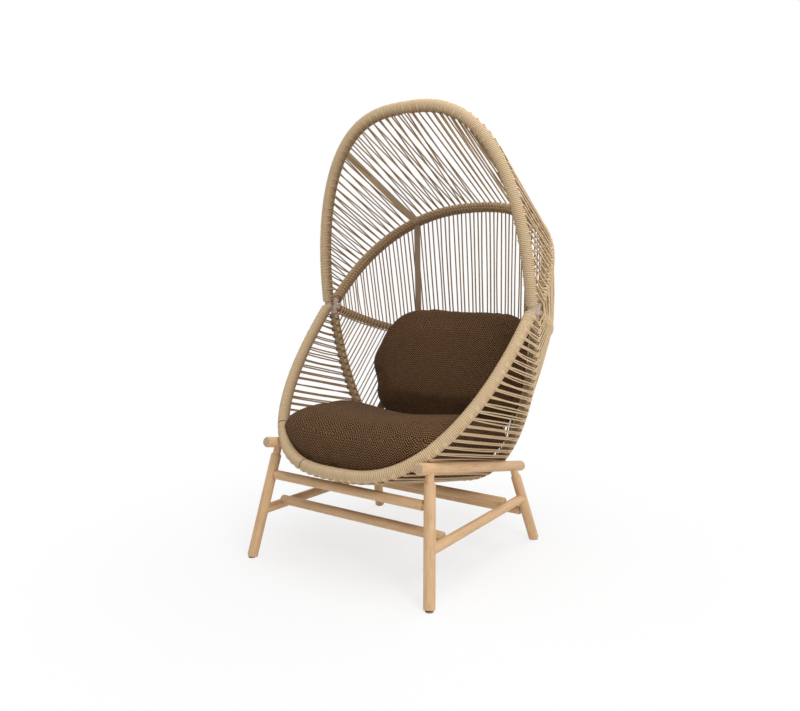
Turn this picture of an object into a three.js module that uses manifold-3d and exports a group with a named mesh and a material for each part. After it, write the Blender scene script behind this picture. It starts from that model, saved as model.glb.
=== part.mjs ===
// Pod chair: a hooded lounge chair, its corded tube shell carried on a round-rod wooden base.
// Units are millimetres. +Z is up, the sitter faces -Y, and the origin is on the floor under
// the middle of the chair.

import * as THREE from 'three';
import { mergeVertices } from 'three/addons/utils/BufferGeometryUtils.js';
import Module from 'manifold-3d';

const wasm = await Module();
wasm.setup();

// Shell outline: five bent tubes meet at two side poles
const SHELL_HALF_WIDTH = 437;
const POLE_Y = 34;
const POLE_Z = 855;
const FAN_SETBACK = 26;
const HOOD_Y = -66;
const HOOD_Z = 1540;
const CROWN_Y = 433;
const CROWN_Z = 1244;
const BACK_Y = 467.9;
const BACK_Z = 705;
const KEEL_Y = 150;
const KEEL_Z = 221;
const KEEL_PINCH = 32;
const RIM_Y = -456;
const RIM_Z = 350;
const RIM_PINCH = 16;

// Tubes, their cane and the strands between them
const LOOP_TUBE_RADIUS = 14;
const FAN_TUBE_RADIUS = 12.5;
const TUBE_WALL = 2;
const WRAP_RADIUS = 20;
const BINDING_RADIUS = 16.5;
const STRAND_RADIUS = 2.8;
const STRAND_PITCH = 44;
const HUB_REACH = 17;
const HUB_BARREL_RADIUS = 15;
const FAN_STUB = 31;
const GAP = 0.3;
const SHORTEST_STRAND = 14;
const STRAND_END_GAP = 0.7;

// Flat struts along the shell
const STRUT_WIDTH = 24;
const STRUT_THICKNESS = 5;
const STRUT_CLEARANCE = 2.5;

// Wooden base
const RAIL_RADIUS = 18;
const RAIL_INSET = 127;
const RAIL_X = SHELL_HALF_WIDTH - RAIL_INSET;
const RAIL_FRONT_Y = -442;
const RAIL_FRONT_Z = 408;
const RAIL_REAR_Y = 238;
const RAIL_REAR_Z = 275;
const RAIL_CHAMFER = 4;
const LEG_RADIUS = 18;
const FRONT_LEG_SETBACK = 62;
const REAR_LEG_INSET = 69;
const FRONT_FOOT_SPLAY = 55;
const FRONT_FOOT_X = RAIL_X + FRONT_FOOT_SPLAY;
const FRONT_FOOT_Y = -466;
const REAR_FOOT_SPLAY = 47;
const REAR_FOOT_X = RAIL_X + REAR_FOOT_SPLAY;
const REAR_FOOT_Y = 262;
const NECK_RADIUS = 13.5;
const NECK_LENGTH = 24;
const NECK_DEPTH = 11;
const ROD_RADIUS = 16;
const TENON_RADIUS = 9;
const TENON_STOP = 6;
const SHOULDER_GAP = 5;
const SIDE_ROD_Z = 164;
const FRONT_ROD_Z = 288;
const REAR_ROD_Z = 110;
const CROSS_ROD_LIFT = 16;
const CROSS_ROD_INSET = 6;
const FRONT_CROSS_Y = -342;
const REAR_CROSS_Y = 78;
const GLIDE_RADIUS = 13;
const GLIDE_HEIGHT = 4;

// Bolts from the shell's runners into cross nuts in the rails
const BOLT_RADIUS = 3;
const BOLT_HEAD_RADIUS = 5.5;
const BOLT_HEAD_HEIGHT = 2.6;
const SPACER_RADIUS = 6.5;
const NUT_RADIUS = 4;
const NUT_LENGTH = 16;
const BOLT_Y = [-313, -276, 29];
const BOLT_NAMES = ['front', 'middle', 'rear'];

// Loose cushions
const SEAT_SIDE_ROOM = 77;
const SEAT_HALF_WIDTH = SHELL_HALF_WIDTH - SEAT_SIDE_ROOM;
const SEAT_FRONT_Y = -446;
const SEAT_REAR_Y = 172;
const SEAT_SEAM_Z = 420;
const SEAT_SEAM_FALL = 8;
const SEAT_SEAM_RISE = 66;
const SEAT_CROWN = 80;
const SEAT_BELLY = 190;
const EDGE_ROOM = 30;
const REST_GAP = 0.8;
const CREASE_Y = 75;
const CREASE_Z = 447;
const BACK_CUSHION_SIDE_ROOM = 83;
const BACK_CUSHION_HALF_WIDTH = SHELL_HALF_WIDTH - BACK_CUSHION_SIDE_ROOM;
const BACK_CUSHION_HALF_HEIGHT = 224;
const BACK_CUSHION_Y = 246;
const BACK_CUSHION_Z = 618;
const BACK_CUSHION_CROWN = 84;
const BACK_CUSHION_BELLY = 160;
const BACK_CUSHION_TAPER = 36;
const BACK_CUSHION_BOW = 42;
const BACK_CUSHION_LEAN = 18;

// Counts, angles in degrees and shares
const LOOP_STEPS = 22;
const FAN_STEPS = 18;
const TUBE_SIDES = 6;
const BINDING_SIDES = 8;
const WRAP_SIDES = 8;
const ROD_SIDES = 10;
const SMALL_SIDES = 6;
const STRAND_SIDES = 3;
const HOOD_CORNER_SHARES = [2.7, 2.18];
const CROWN_CORNER_SHARES = [2.31, 2.37];
const BACK_CORNER_SHARES = [2.35, 2.2];
const KEEL_CORNER_SHARES = [3, 2.56];
const RIM_CORNER_SHARES = [2.81, 2.6];
const HOOD_STRUT_SHARE = 0.325;
const BACK_STRUT_SHARE = 0.3;
const LOWER_STRUT_SHARE = 0.29;
const SEAT_OUTLINE_SHARES = [2.8, 2.5];
const BACK_OUTLINE_SHARES = [3.1, 2.9];
const CUSHION_RING_SHARES = [0.34, 0.64, 0.83, 0.95];
const CUSHION_SECTORS = 32;
const CUSHION_FULLNESS_SHARES = [3.6, 0.5];
const SEAT_LIFT = 58;
const CREASE_FALL = 61;
const SEARCH_ROUNDS = 30;
const SEARCH_STEPS = 400;
const OVERRUN = 40;
const WELD_TOLERANCE = 0.001;

const V = (x, y, z) => new THREE.Vector3(x, y, z);
const UP = V(0, 0, 1);

// A bent tube's centre line: a rounded arch in the tilted plane through both poles
class RibArc extends THREE.Curve {
  constructor(apexY, apexZ, cornerShares, pinch, startY) {
    super();
    this.apexY = apexY;
    this.apexZ = apexZ;
    this.squareness = 2 / cornerShares[0];
    this.roundness = 2 / cornerShares[1];
    this.pinch = pinch;
    this.startY = startY;
    this.arcLengthDivisions = 600;
  }
  getPoint(t, target = V(0, 0, 0)) {
    const angle = Math.PI * t;
    const across = Math.cos(angle);
    const rise = Math.abs(Math.sin(angle)) ** this.roundness;
    const reach = SHELL_HALF_WIDTH * Math.sign(across) * Math.abs(across) ** this.squareness;
    return target.set(
      reach - this.pinch * Math.sin(2 * angle),
      this.startY + (this.apexY - this.startY) * rise,
      POLE_Z + (this.apexZ - POLE_Z) * rise,
    );
  }
}

// The stretch of a bent tube that starts and ends a set length short of the poles
class Stretch extends THREE.Curve {
  constructor(rib, startLength, steps) {
    super();
    this.rib = rib;
    this.trim = startLength / rib.getLength();
    this.knots = this.getSpacedPoints(steps);
  }
  getPoint(t, target = V(0, 0, 0)) {
    return this.rib.getPointAt(this.trim + (1 - 2 * this.trim) * t, target);
  }
  // A point on the straight run between two knots, and the run's direction
  onChord(share) {
    const along = Math.min(Math.max(share, 0), 1) * (this.knots.length - 1);
    const index = Math.min(Math.floor(along), this.knots.length - 2);
    const from = this.knots[index];
    const to = this.knots[index + 1];
    return {
      point: from.clone().lerp(to, along - index),
      direction: to.clone().sub(from).normalize(),
    };
  }
}

const loopStartY = POLE_Y;
const fanStartY = POLE_Y + FAN_SETBACK;
const hoodRib = new RibArc(HOOD_Y, HOOD_Z, HOOD_CORNER_SHARES, 0, loopStartY);
const crownRib = new RibArc(CROWN_Y, CROWN_Z, CROWN_CORNER_SHARES, 0, fanStartY);
const backRib = new RibArc(BACK_Y, BACK_Z, BACK_CORNER_SHARES, 0, fanStartY);
const keelRib = new RibArc(KEEL_Y, KEEL_Z, KEEL_CORNER_SHARES, KEEL_PINCH, fanStartY);
const rimRib = new RibArc(RIM_Y, RIM_Z, RIM_CORNER_SHARES, RIM_PINCH, loopStartY);
const hood = new Stretch(hoodRib, HUB_REACH + GAP, LOOP_STEPS);
const crown = new Stretch(crownRib, FAN_STUB + GAP, FAN_STEPS);
const back = new Stretch(backRib, FAN_STUB + GAP, FAN_STEPS);
const keel = new Stretch(keelRib, FAN_STUB + GAP, FAN_STEPS);
const rim = new Stretch(rimRib, HUB_REACH + GAP, LOOP_STEPS);

// Solid geometry to a boolean solid and back
function toSolid(geometry) {
  const bare = geometry.clone();
  bare.deleteAttribute('normal');
  bare.deleteAttribute('uv');
  const merged = mergeVertices(bare, WELD_TOLERANCE);
  return new wasm.Manifold(new wasm.Mesh({
    numProp: 3,
    vertProperties: Float32Array.from(merged.attributes.position.array),
    triVerts: Uint32Array.from(merged.index.array),
  }));
}

function toGeometry(solid) {
  const mesh = solid.getMesh();
  const geometry = new THREE.BufferGeometry();
  geometry.setAttribute('position', new THREE.BufferAttribute(Float32Array.from(mesh.vertProperties), 3));
  geometry.setIndex(Array.from(mesh.triVerts));
  return geometry;
}

const joined = (geometries) => geometries.map(toSolid).reduce((all, one) => all.add(one));
const cutBy = (solid, cutters) => cutters.map(toSolid).reduce((left, one) => left.subtract(one), solid);

// A round bar between two points, with small chamfers where asked
function rod(from, to, radius, sides = ROD_SIDES, chamfer = 0) {
  const length = from.distanceTo(to);
  const profile = [new THREE.Vector2(0, 0)];
  if (chamfer > 0) profile.push(new THREE.Vector2(radius - chamfer, 0));
  profile.push(new THREE.Vector2(radius, chamfer));
  profile.push(new THREE.Vector2(radius, length - chamfer));
  if (chamfer > 0) profile.push(new THREE.Vector2(radius - chamfer, length));
  profile.push(new THREE.Vector2(0, length));
  const geometry = new THREE.LatheGeometry(profile, sides);
  const direction = to.clone().sub(from).normalize();
  geometry.applyQuaternion(new THREE.Quaternion().setFromUnitVectors(V(0, 1, 0), direction));
  return geometry.translate(from.x, from.y, from.z);
}

function beyond(from, to, extra) {
  return to.clone().add(to.clone().sub(from).setLength(extra));
}

function atHeight(from, to, z) {
  return from.clone().lerp(to, (z - from.z) / (to.z - from.z));
}

function polygon(radius, sides) {
  return Array.from({ length: sides }, (_, index) => {
    const angle = (2 * Math.PI * index) / sides;
    return new THREE.Vector2(radius * Math.cos(angle), radius * Math.sin(angle));
  });
}

// A hollow tube or sleeve swept along a stretch
function sleeve(stretch, outer, inner, sides) {
  const section = new THREE.Shape(polygon(outer, sides));
  section.holes.push(new THREE.Path(polygon(inner, TUBE_SIDES)));
  return new THREE.ExtrudeGeometry(section, {
    steps: stretch.knots.length - 1,
    extrudePath: stretch,
    bevelEnabled: false,
  });
}

function solidSweep(stretch, radius) {
  return new THREE.ExtrudeGeometry(new THREE.Shape(polygon(radius, BINDING_SIDES)), {
    steps: stretch.knots.length - 1,
    extrudePath: stretch,
    bevelEnabled: false,
  });
}

const tube = (stretch, radius) => sleeve(stretch, radius, radius - TUBE_WALL, TUBE_SIDES);
const cane = (stretch, outer, tubeRadius, sides) => sleeve(stretch, outer, tubeRadius + 2 * GAP, sides);

// Both poles' hub: the front loop's bare elbow with a barrel behind it for the three rear tubes
function poleHub(side) {
  const share = side > 0 ? 0 : 1;
  const inward = (rib, length) => rib.getPointAt(Math.abs(share - length / rib.getLength()));
  const pole = V(side * SHELL_HALF_WIDTH, loopStartY, POLE_Z);
  const fan = V(side * SHELL_HALF_WIDTH, fanStartY, POLE_Z);
  const barrelHalf = V(0, 0, HUB_BARREL_RADIUS);
  const parts = [
    rod(pole.clone().addScaledVector(inward(hoodRib, HUB_REACH).sub(pole), -1 / 2),
      inward(hoodRib, HUB_REACH), LOOP_TUBE_RADIUS),
    rod(pole.clone().addScaledVector(inward(rimRib, HUB_REACH).sub(pole), -1 / 2),
      inward(rimRib, HUB_REACH), LOOP_TUBE_RADIUS),
    rod(fan.clone().sub(barrelHalf), fan.clone().add(barrelHalf), HUB_BARREL_RADIUS),
  ];
  for (const rib of [crownRib, backRib, keelRib]) {
    parts.push(rod(fan, inward(rib, FAN_STUB), FAN_TUBE_RADIUS, SMALL_SIDES));
  }
  return toGeometry(joined(parts));
}

// One straight strand whose flat ends stop just clear of the two tubes it is tied to
function strand(from, to, fromRadius, toRadius) {
  const run = to.point.clone().sub(from.point);
  const direction = run.clone().normalize();
  const trim = (end, radius) => {
    const cosine = Math.abs(direction.dot(end.direction));
    const sine = Math.sqrt(1 - cosine * cosine);
    return (radius + STRAND_END_GAP + STRAND_RADIUS * cosine) / sine;
  };
  const start = trim(from, fromRadius);
  const stop = run.length() - trim(to, toRadius);
  if (stop - start < SHORTEST_STRAND) return null;
  const length = stop - start;
  const geometry = new THREE.CylinderGeometry(STRAND_RADIUS, STRAND_RADIUS, length, STRAND_SIDES);
  const middle = from.point.clone().addScaledVector(direction, (start + stop) / 2);
  geometry.applyQuaternion(new THREE.Quaternion().setFromUnitVectors(V(0, 1, 0), direction));
  return geometry.translate(middle.x, middle.y, middle.z);
}

// Strands that leave one tube in close pairs and reach the next evenly spread
function pairedPanel(knotted, spread, knottedRadius, spreadRadius) {
  const pairs = 2 * Math.round(knotted.rib.getLength() / STRAND_PITCH / 2);
  const close = STRAND_RADIUS / knotted.rib.getLength();
  const strands = [];
  for (let pair = 0; pair < pairs; pair += 1) {
    const share = (pair + 1 / 2) / pairs;
    for (const turn of [-1, 1]) {
      const from = knotted.onChord(share + turn * close);
      const to = spread.onChord(share + turn / pairs / 4);
      strands.push(strand(from, to, knottedRadius, spreadRadius));
    }
  }
  return strands.filter(Boolean);
}

// Single strands spread evenly between two tubes
function evenPanel(upper, lower, upperRadius, lowerRadius) {
  const count = 2 * Math.round(upper.rib.getLength() / STRAND_PITCH);
  const strands = [];
  for (let index = 1; index < count; index += 1) {
    const share = index / count;
    strands.push(strand(upper.onChord(share), lower.onChord(share), upperRadius, lowerRadius));
  }
  return strands.filter(Boolean);
}

// A tube's sleeve of cane with the strands that run on from it
const weave = (casing, strands) => toGeometry(joined([casing, ...strands]));

// A flat bar beside the strands, from one tube to the next, on the named face of the shell
function flatBar(upper, lower, upperShare, lowerShare, upperRadius, lowerRadius, face) {
  const from = upper.onChord(upperShare);
  const to = lower.onChord(lowerShare);
  const run = to.point.clone().sub(from.point);
  const direction = run.clone().normalize();
  const inward = run.clone().cross(from.direction).normalize();
  const middleOfShell = V(0, POLE_Y, POLE_Z);
  if (inward.dot(middleOfShell.sub(from.point)) < 0) inward.negate();
  const offset = STRAND_RADIUS + STRUT_CLEARANCE + STRUT_THICKNESS / 2;
  const across = new THREE.Vector3().crossVectors(direction, inward);
  const middle = from.point.clone().lerp(to.point, 1 / 2).addScaledVector(inward, face * offset);
  const geometry = new THREE.BoxGeometry(STRUT_WIDTH, run.length(), STRUT_THICKNESS);
  geometry.applyMatrix4(new THREE.Matrix4().makeBasis(across, direction, inward.clone()));
  geometry.translate(middle.x, middle.y, middle.z);
  const tubes = [solidSweep(upper, upperRadius + GAP), solidSweep(lower, lowerRadius + GAP)];
  return toGeometry(cutBy(toSolid(geometry), tubes));
}

// Base lines on one side
function baseLines(side) {
  const railFront = V(side * RAIL_X, RAIL_FRONT_Y, RAIL_FRONT_Z);
  const railRear = V(side * RAIL_X, RAIL_REAR_Y, RAIL_REAR_Z);
  const railLength = railFront.distanceTo(railRear);
  const frontFoot = V(side * FRONT_FOOT_X, FRONT_FOOT_Y, 0);
  const rearFoot = V(side * REAR_FOOT_X, REAR_FOOT_Y, 0);
  const frontTop = railFront.clone().lerp(railRear, FRONT_LEG_SETBACK / railLength);
  const rearTop = railRear.clone().lerp(railFront, REAR_LEG_INSET / railLength);
  return {
    railFront,
    railRear,
    frontFoot,
    rearFoot,
    frontTop,
    rearTop,
    sideFront: atHeight(frontFoot, frontTop, SIDE_ROD_Z),
    sideRear: atHeight(rearFoot, rearTop, SIDE_ROD_Z),
  };
}

const right = baseLines(1);
const left = baseLines(-1);
const linesOf = (side) => (side > 0 ? right : left);
const railDirection = right.railRear.clone().sub(right.railFront).normalize();

// The place on a tube, right or left of the middle, that lies nearest to the rail below it
function shareOverRail(stretch, side) {
  const { railFront } = linesOf(side);
  const distanceAt = (share) => {
    const offset = stretch.onChord(share).point.sub(railFront);
    return offset.addScaledVector(railDirection, -offset.dot(railDirection)).length();
  };
  const shares = Array.from({ length: SEARCH_STEPS }, (_, index) => index / SEARCH_STEPS / 2)
    .map((share) => (side > 0 ? share : 1 - share));
  return shares.reduce((best, share) => (distanceAt(share) < distanceAt(best) ? share : best));
}

// Where each bolt leaves its rail's axis, and its way up through the runner
function boltSeats(side) {
  const start = rim.onChord(shareOverRail(rim, side)).point;
  const end = keel.onChord(shareOverRail(keel, side)).point;
  const run = end.clone().sub(start).normalize();
  return BOLT_Y.map((y) => {
    const seat = linesOf(side).railFront.clone()
      .addScaledVector(railDirection, (y - RAIL_FRONT_Y) / railDirection.y);
    const nearest = start.clone().addScaledVector(run, seat.clone().sub(start).dot(run));
    const offset = nearest.clone().sub(seat);
    const nut = offset.clone().cross(railDirection).normalize();
    if (nut.x * side < 0) nut.negate();
    return {
      seat,
      axis: offset.clone().normalize(),
      nut,
      runnerTop: offset.length() - STRAND_RADIUS - STRUT_CLEARANCE,
    };
  });
}

function boltShape({ seat, axis, runnerTop }, grow) {
  const top = seat.clone().addScaledVector(axis, runnerTop - GAP + 2 * grow);
  const neck = seat.clone().addScaledVector(axis, runnerTop - BOLT_HEAD_HEIGHT - grow);
  const tip = seat.clone().addScaledVector(axis, -NUT_RADIUS - grow);
  return toGeometry(joined([
    rod(neck, top, BOLT_HEAD_RADIUS + grow, SMALL_SIDES),
    rod(tip, top, BOLT_RADIUS + grow, SMALL_SIDES),
  ]));
}

const boltHoles = (side) => boltSeats(side).map((place) => boltShape(place, GAP));

function nutShape({ seat, nut }, grow, extra) {
  const inner = seat.clone().addScaledVector(nut, -NUT_LENGTH / 2 - grow);
  const outer = seat.clone().addScaledVector(nut, NUT_LENGTH / 2 + extra);
  return rod(inner, outer, NUT_RADIUS + grow, SMALL_SIDES);
}

function crossNut(place) {
  return toGeometry(cutBy(toSolid(nutShape(place, 0, 0)), [boltShape(place, GAP)]));
}

// The flat bar that carries the shell on its rail, with a welded foot round each bolt
function seatRunner(side) {
  const { railFront, railRear } = linesOf(side);
  const bar = flatBar(rim, keel, shareOverRail(rim, side), shareOverRail(keel, side),
    WRAP_RADIUS, BINDING_RADIUS, -1);
  const feet = boltSeats(side).map(({ seat, axis, runnerTop }) => {
    const inBar = seat.clone().addScaledVector(axis, runnerTop - STRUT_THICKNESS / 2);
    return rod(seat, inBar, SPACER_RADIUS, SMALL_SIDES);
  });
  const railSpace = rod(railFront, railRear, RAIL_RADIUS + GAP);
  return toGeometry(cutBy(joined([bar, ...feet]), [railSpace, ...boltHoles(side)]));
}

// A neck's end and its mortise
function neckEnds(foot, top, grow) {
  const down = foot.clone().sub(top).normalize();
  const shoulder = top.clone().addScaledVector(down, RAIL_RADIUS + NECK_LENGTH);
  const tip = top.clone().addScaledVector(down, RAIL_RADIUS - NECK_DEPTH - grow);
  return { shoulder, tip };
}

function rail(side) {
  const lines = linesOf(side);
  const body = toSolid(rod(lines.railFront, lines.railRear, RAIL_RADIUS, ROD_SIDES, RAIL_CHAMFER));
  const cutters = [
    [lines.frontFoot, lines.frontTop],
    [lines.rearFoot, lines.rearTop],
  ].map(([foot, top]) => {
    const { shoulder, tip } = neckEnds(foot, top, GAP);
    return rod(shoulder, tip, NECK_RADIUS + GAP);
  });
  const nutHoles = boltSeats(side).map((place) => nutShape(place, GAP, OVERRUN));
  return toGeometry(cutBy(body, [...cutters, ...nutHoles, ...boltHoles(side)]));
}

// A rod between two legs: its body is shaped to the legs and its tenons enter them
function legRod(from, to, legs, shoulder) {
  const direction = to.clone().sub(from).normalize();
  const cutters = legs.map(([foot, top]) => rod(foot, top, LEG_RADIUS + GAP + shoulder));
  const body = cutBy(toSolid(rod(from, to, ROD_RADIUS)), cutters);
  const start = from.clone().addScaledVector(direction, TENON_STOP);
  const stop = to.clone().addScaledVector(direction, -TENON_STOP);
  return toGeometry(body.add(toSolid(rod(start, stop, TENON_RADIUS, SMALL_SIDES))));
}

function tenonHole(from, to) {
  const direction = to.clone().sub(from).normalize();
  const start = from.clone().addScaledVector(direction, TENON_STOP - GAP);
  const stop = to.clone().addScaledVector(direction, -TENON_STOP + GAP);
  return rod(start, stop, TENON_RADIUS + GAP, SMALL_SIDES);
}

const legLines = (side, front) => {
  const lines = linesOf(side);
  return front ? [lines.frontFoot, lines.frontTop] : [lines.rearFoot, lines.rearTop];
};
const crossing = (front, z) => [-1, 1].map((side) => atHeight(...legLines(side, front), z));
const frontRodLine = crossing(true, FRONT_ROD_Z);
const rearRodLine = crossing(false, REAR_ROD_Z);

function leg(side, front) {
  const [foot, top] = legLines(side, front);
  const lines = linesOf(side);
  const { shoulder, tip } = neckEnds(foot, top, 0);
  const below = beyond(top, foot, OVERRUN);
  const floor = new THREE.BoxGeometry(2 * OVERRUN, 2 * OVERRUN, 2 * OVERRUN);
  floor.translate(foot.x, foot.y, GLIDE_HEIGHT + GAP - OVERRUN);
  const holes = [
    tenonHole(lines.sideFront, lines.sideRear),
    front ? tenonHole(...frontRodLine) : tenonHole(...rearRodLine),
  ];
  const body = joined([rod(below, shoulder, LEG_RADIUS), rod(below, tip, NECK_RADIUS)]);
  return toGeometry(cutBy(body, [floor, ...holes]));
}

const bothLegs = (front) => [-1, 1].map((side) => legLines(side, front));

function sideRod(side) {
  const lines = linesOf(side);
  return legRod(lines.sideFront, lines.sideRear, [legLines(side, true), legLines(side, false)], 0);
}

// A rod that lies half over the two side rods
function crossRod(y) {
  const ends = [-1, 1].map((side) => {
    const lines = linesOf(side);
    const share = (y - lines.sideFront.y) / (lines.sideRear.y - lines.sideFront.y);
    const point = lines.sideFront.clone().lerp(lines.sideRear, share);
    return point.add(V(-side * CROSS_ROD_INSET, 0, CROSS_ROD_LIFT));
  });
  const cutters = [left, right].map((lines) => rod(lines.sideFront, lines.sideRear, ROD_RADIUS + GAP));
  return toGeometry(cutBy(toSolid(rod(...ends, ROD_RADIUS)), cutters));
}

// A crowned pad: rings from the middle of one face over the seam to the middle of the other
function cushion(outlineShares, seamPoint, fits, puffedPoint) {
  const outline = Array.from({ length: CUSHION_SECTORS }, (_, sector) => {
    const angle = (2 * Math.PI * sector) / CUSHION_SECTORS;
    const c = Math.cos(angle);
    const s = Math.sin(angle);
    const u = Math.sign(c) * Math.abs(c) ** (2 / outlineShares[0]);
    const v = Math.sign(s) * Math.abs(s) ** (2 / outlineShares[1]);
    let inside = 0;
    let outside = 1;
    for (let round = 0; round < SEARCH_ROUNDS; round += 1) {
      const share = (inside + outside) / 2;
      if (fits(seamPoint(share * u, share * v))) inside = share;
      else outside = share;
    }
    return [inside * u, inside * v];
  });
  const positions = [];
  const rings = [
    ...CUSHION_RING_SHARES.map((share) => [share, 1]),
    [1, 0],
    ...[...CUSHION_RING_SHARES].reverse().map((share) => [share, -1]),
  ];
  const put = (point) => positions.push(point.x, point.y, point.z) / 3 - 1;
  const [flatness, softness] = CUSHION_FULLNESS_SHARES;
  const height = (share) => (1 - share ** flatness) ** softness;
  const first = put(puffedPoint(seamPoint(0, 0), 1, 1));
  for (const [share, face] of rings) {
    for (const [u, v] of outline) {
      put(puffedPoint(seamPoint(share * u, share * v), face, face === 0 ? 0 : height(share)));
    }
  }
  const last = put(puffedPoint(seamPoint(0, 0), -1, 1));
  const index = [];
  for (let sector = 0; sector < CUSHION_SECTORS; sector += 1) {
    const next = (sector + 1) % CUSHION_SECTORS;
    index.push(first, first + 1 + sector, first + 1 + next);
    for (let ring = 0; ring < rings.length - 1; ring += 1) {
      const a = first + 1 + ring * CUSHION_SECTORS;
      const b = a + CUSHION_SECTORS;
      index.push(a + sector, b + sector, b + next, a + sector, b + next, a + next);
    }
    const base = first + 1 + (rings.length - 1) * CUSHION_SECTORS;
    index.push(last, base + next, base + sector);
  }
  const geometry = new THREE.BufferGeometry();
  geometry.setAttribute('position', new THREE.Float32BufferAttribute(positions, 3));
  geometry.setIndex(index);
  return geometry;
}

// Where the shell's skin passes a place: three neighbouring tubes, a width and a height or depth
function skinAt(stretches, x, axis, value) {
  let low = 0;
  let high = 1 / 2;
  let place = V(0, 0, 0);
  for (let round = 0; round < SEARCH_ROUNDS; round += 1) {
    const share = (low + high) / 2;
    const points = stretches.map((stretch) => stretch.onChord(share).point);
    const past = value > points[1][axis] ? 1 : 0;
    const along = (value - points[past][axis]) / (points[past + 1][axis] - points[past][axis]);
    place = points[past].clone().lerp(points[past + 1], Math.min(Math.max(along, 0), 1));
    if (place.x > Math.abs(x)) low = share;
    else high = share;
  }
  return place;
}

// Height of the sloping joint between the two cushions
function creaseHeight(y) {
  return CREASE_Z - (y - CREASE_Y) * Math.tan(THREE.MathUtils.degToRad(CREASE_FALL));
}

function seatCushion() {
  const middleY = (SEAT_FRONT_Y + SEAT_REAR_Y) / 2;
  const halfDepth = (SEAT_REAR_Y - SEAT_FRONT_Y) / 2;
  const lift = THREE.MathUtils.degToRad(SEAT_LIFT);
  const level = (point) => point.z * Math.cos(lift) + point.y * Math.sin(lift);
  const lowest = (point) => {
    const floor = skinAt([rim, keel, back], point.x, 'y', point.y);
    const rimAbove = level(skinAt([rim, keel, back], point.x, 'y', RIM_Y)) + WRAP_RADIUS;
    return Math.max(
      floor.z + STRAND_RADIUS,
      (rimAbove - point.y * Math.sin(lift)) / Math.cos(lift),
    ) + REST_GAP;
  };
  const seam = (u, v) => V(
    u * SEAT_HALF_WIDTH,
    middleY + v * halfDepth,
    SEAT_SEAM_Z - v * SEAT_SEAM_FALL + u * u * SEAT_SEAM_RISE,
  );
  const fits = (point) => point.z > lowest(point) + EDGE_ROOM
    && point.z < creaseHeight(point.y) - EDGE_ROOM;
  const puff = (point, face, height) => {
    const z = point.z + height * (face > 0 ? SEAT_CROWN : -SEAT_BELLY);
    return point.setZ(Math.min(Math.max(z, lowest(point)), creaseHeight(point.y) - REST_GAP));
  };
  return cushion(SEAT_OUTLINE_SHARES, seam, fits, puff);
}

function backCushion() {
  const lean = THREE.MathUtils.degToRad(BACK_CUSHION_LEAN);
  const upSlope = V(0, Math.sin(lean), Math.cos(lean));
  const forward = V(0, -Math.cos(lean), Math.sin(lean));
  const middle = V(0, BACK_CUSHION_Y, BACK_CUSHION_Z);
  const seam = (u, v) => middle.clone()
    .add(V(u * (BACK_CUSHION_HALF_WIDTH - v * BACK_CUSHION_TAPER), 0, 0))
    .addScaledVector(upSlope, v * BACK_CUSHION_HALF_HEIGHT)
    .addScaledVector(forward, u * u * BACK_CUSHION_BOW);
  const rearmost = (point) => skinAt([keel, back, crown], point.x, 'z', point.z).y
    - STRAND_RADIUS - 3 * REST_GAP;
  const fits = (point) => point.y < rearmost(point) - EDGE_ROOM
    && point.z > creaseHeight(point.y) + EDGE_ROOM;
  const puff = (point, face, height) => {
    point.addScaledVector(forward, height * (face > 0 ? BACK_CUSHION_CROWN : -BACK_CUSHION_BELLY));
    point.setY(Math.min(point.y, rearmost(point)));
    return point.setZ(Math.max(point.z, creaseHeight(point.y) + REST_GAP));
  };
  return cushion(BACK_OUTLINE_SHARES, seam, fits, puff);
}

const finish = {
  cane: { color: 0xc8a77c, roughness: 0.62, metalness: 0 },
  coated: { color: 0xcdb8a6, roughness: 0.5, metalness: 0.1 },
  teak: { color: 0xc9a276, roughness: 0.66, metalness: 0 },
  steel: { color: 0x9a9895, roughness: 0.35, metalness: 0.9 },
  glide: { color: 0x8d8478, roughness: 0.7, metalness: 0 },
  fabric: { color: 0x4b3021, roughness: 0.95, metalness: 0 },
};

const chair = new THREE.Group();
chair.name = 'pod_chair';

function add(name, geometry, look) {
  const mesh = new THREE.Mesh(geometry, new THREE.MeshStandardMaterial(finish[look]));
  mesh.name = name;
  chair.add(mesh);
}

// Shell: tubes, cane with its strands, and struts
const caneOf = (stretch) => cane(stretch, WRAP_RADIUS, LOOP_TUBE_RADIUS, WRAP_SIDES);
const bindingOf = (stretch) => cane(stretch, BINDING_RADIUS, FAN_TUBE_RADIUS, BINDING_SIDES);
const loopBore = LOOP_TUBE_RADIUS + 2 * GAP;
const fanBore = FAN_TUBE_RADIUS + 2 * GAP;
add('hood_arch_tube', tube(hood, LOOP_TUBE_RADIUS), 'coated');
add('crown_rib_tube', tube(crown, FAN_TUBE_RADIUS), 'coated');
add('back_rib_tube', tube(back, FAN_TUBE_RADIUS), 'coated');
add('keel_rib_tube', tube(keel, FAN_TUBE_RADIUS), 'coated');
add('seat_rim_tube', tube(rim, LOOP_TUBE_RADIUS), 'coated');
add('hood_cane', weave(caneOf(hood), pairedPanel(hood, crown, loopBore, BINDING_RADIUS)), 'cane');
add('seat_cane', weave(caneOf(rim), pairedPanel(rim, keel, loopBore, BINDING_RADIUS)), 'cane');
add('back_cane', weave(bindingOf(crown), evenPanel(crown, back, fanBore, BINDING_RADIUS)), 'cane');
add('lumbar_cane', weave(bindingOf(back), evenPanel(back, keel, fanBore, BINDING_RADIUS)), 'cane');
add('keel_binding', bindingOf(keel), 'cane');

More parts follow.
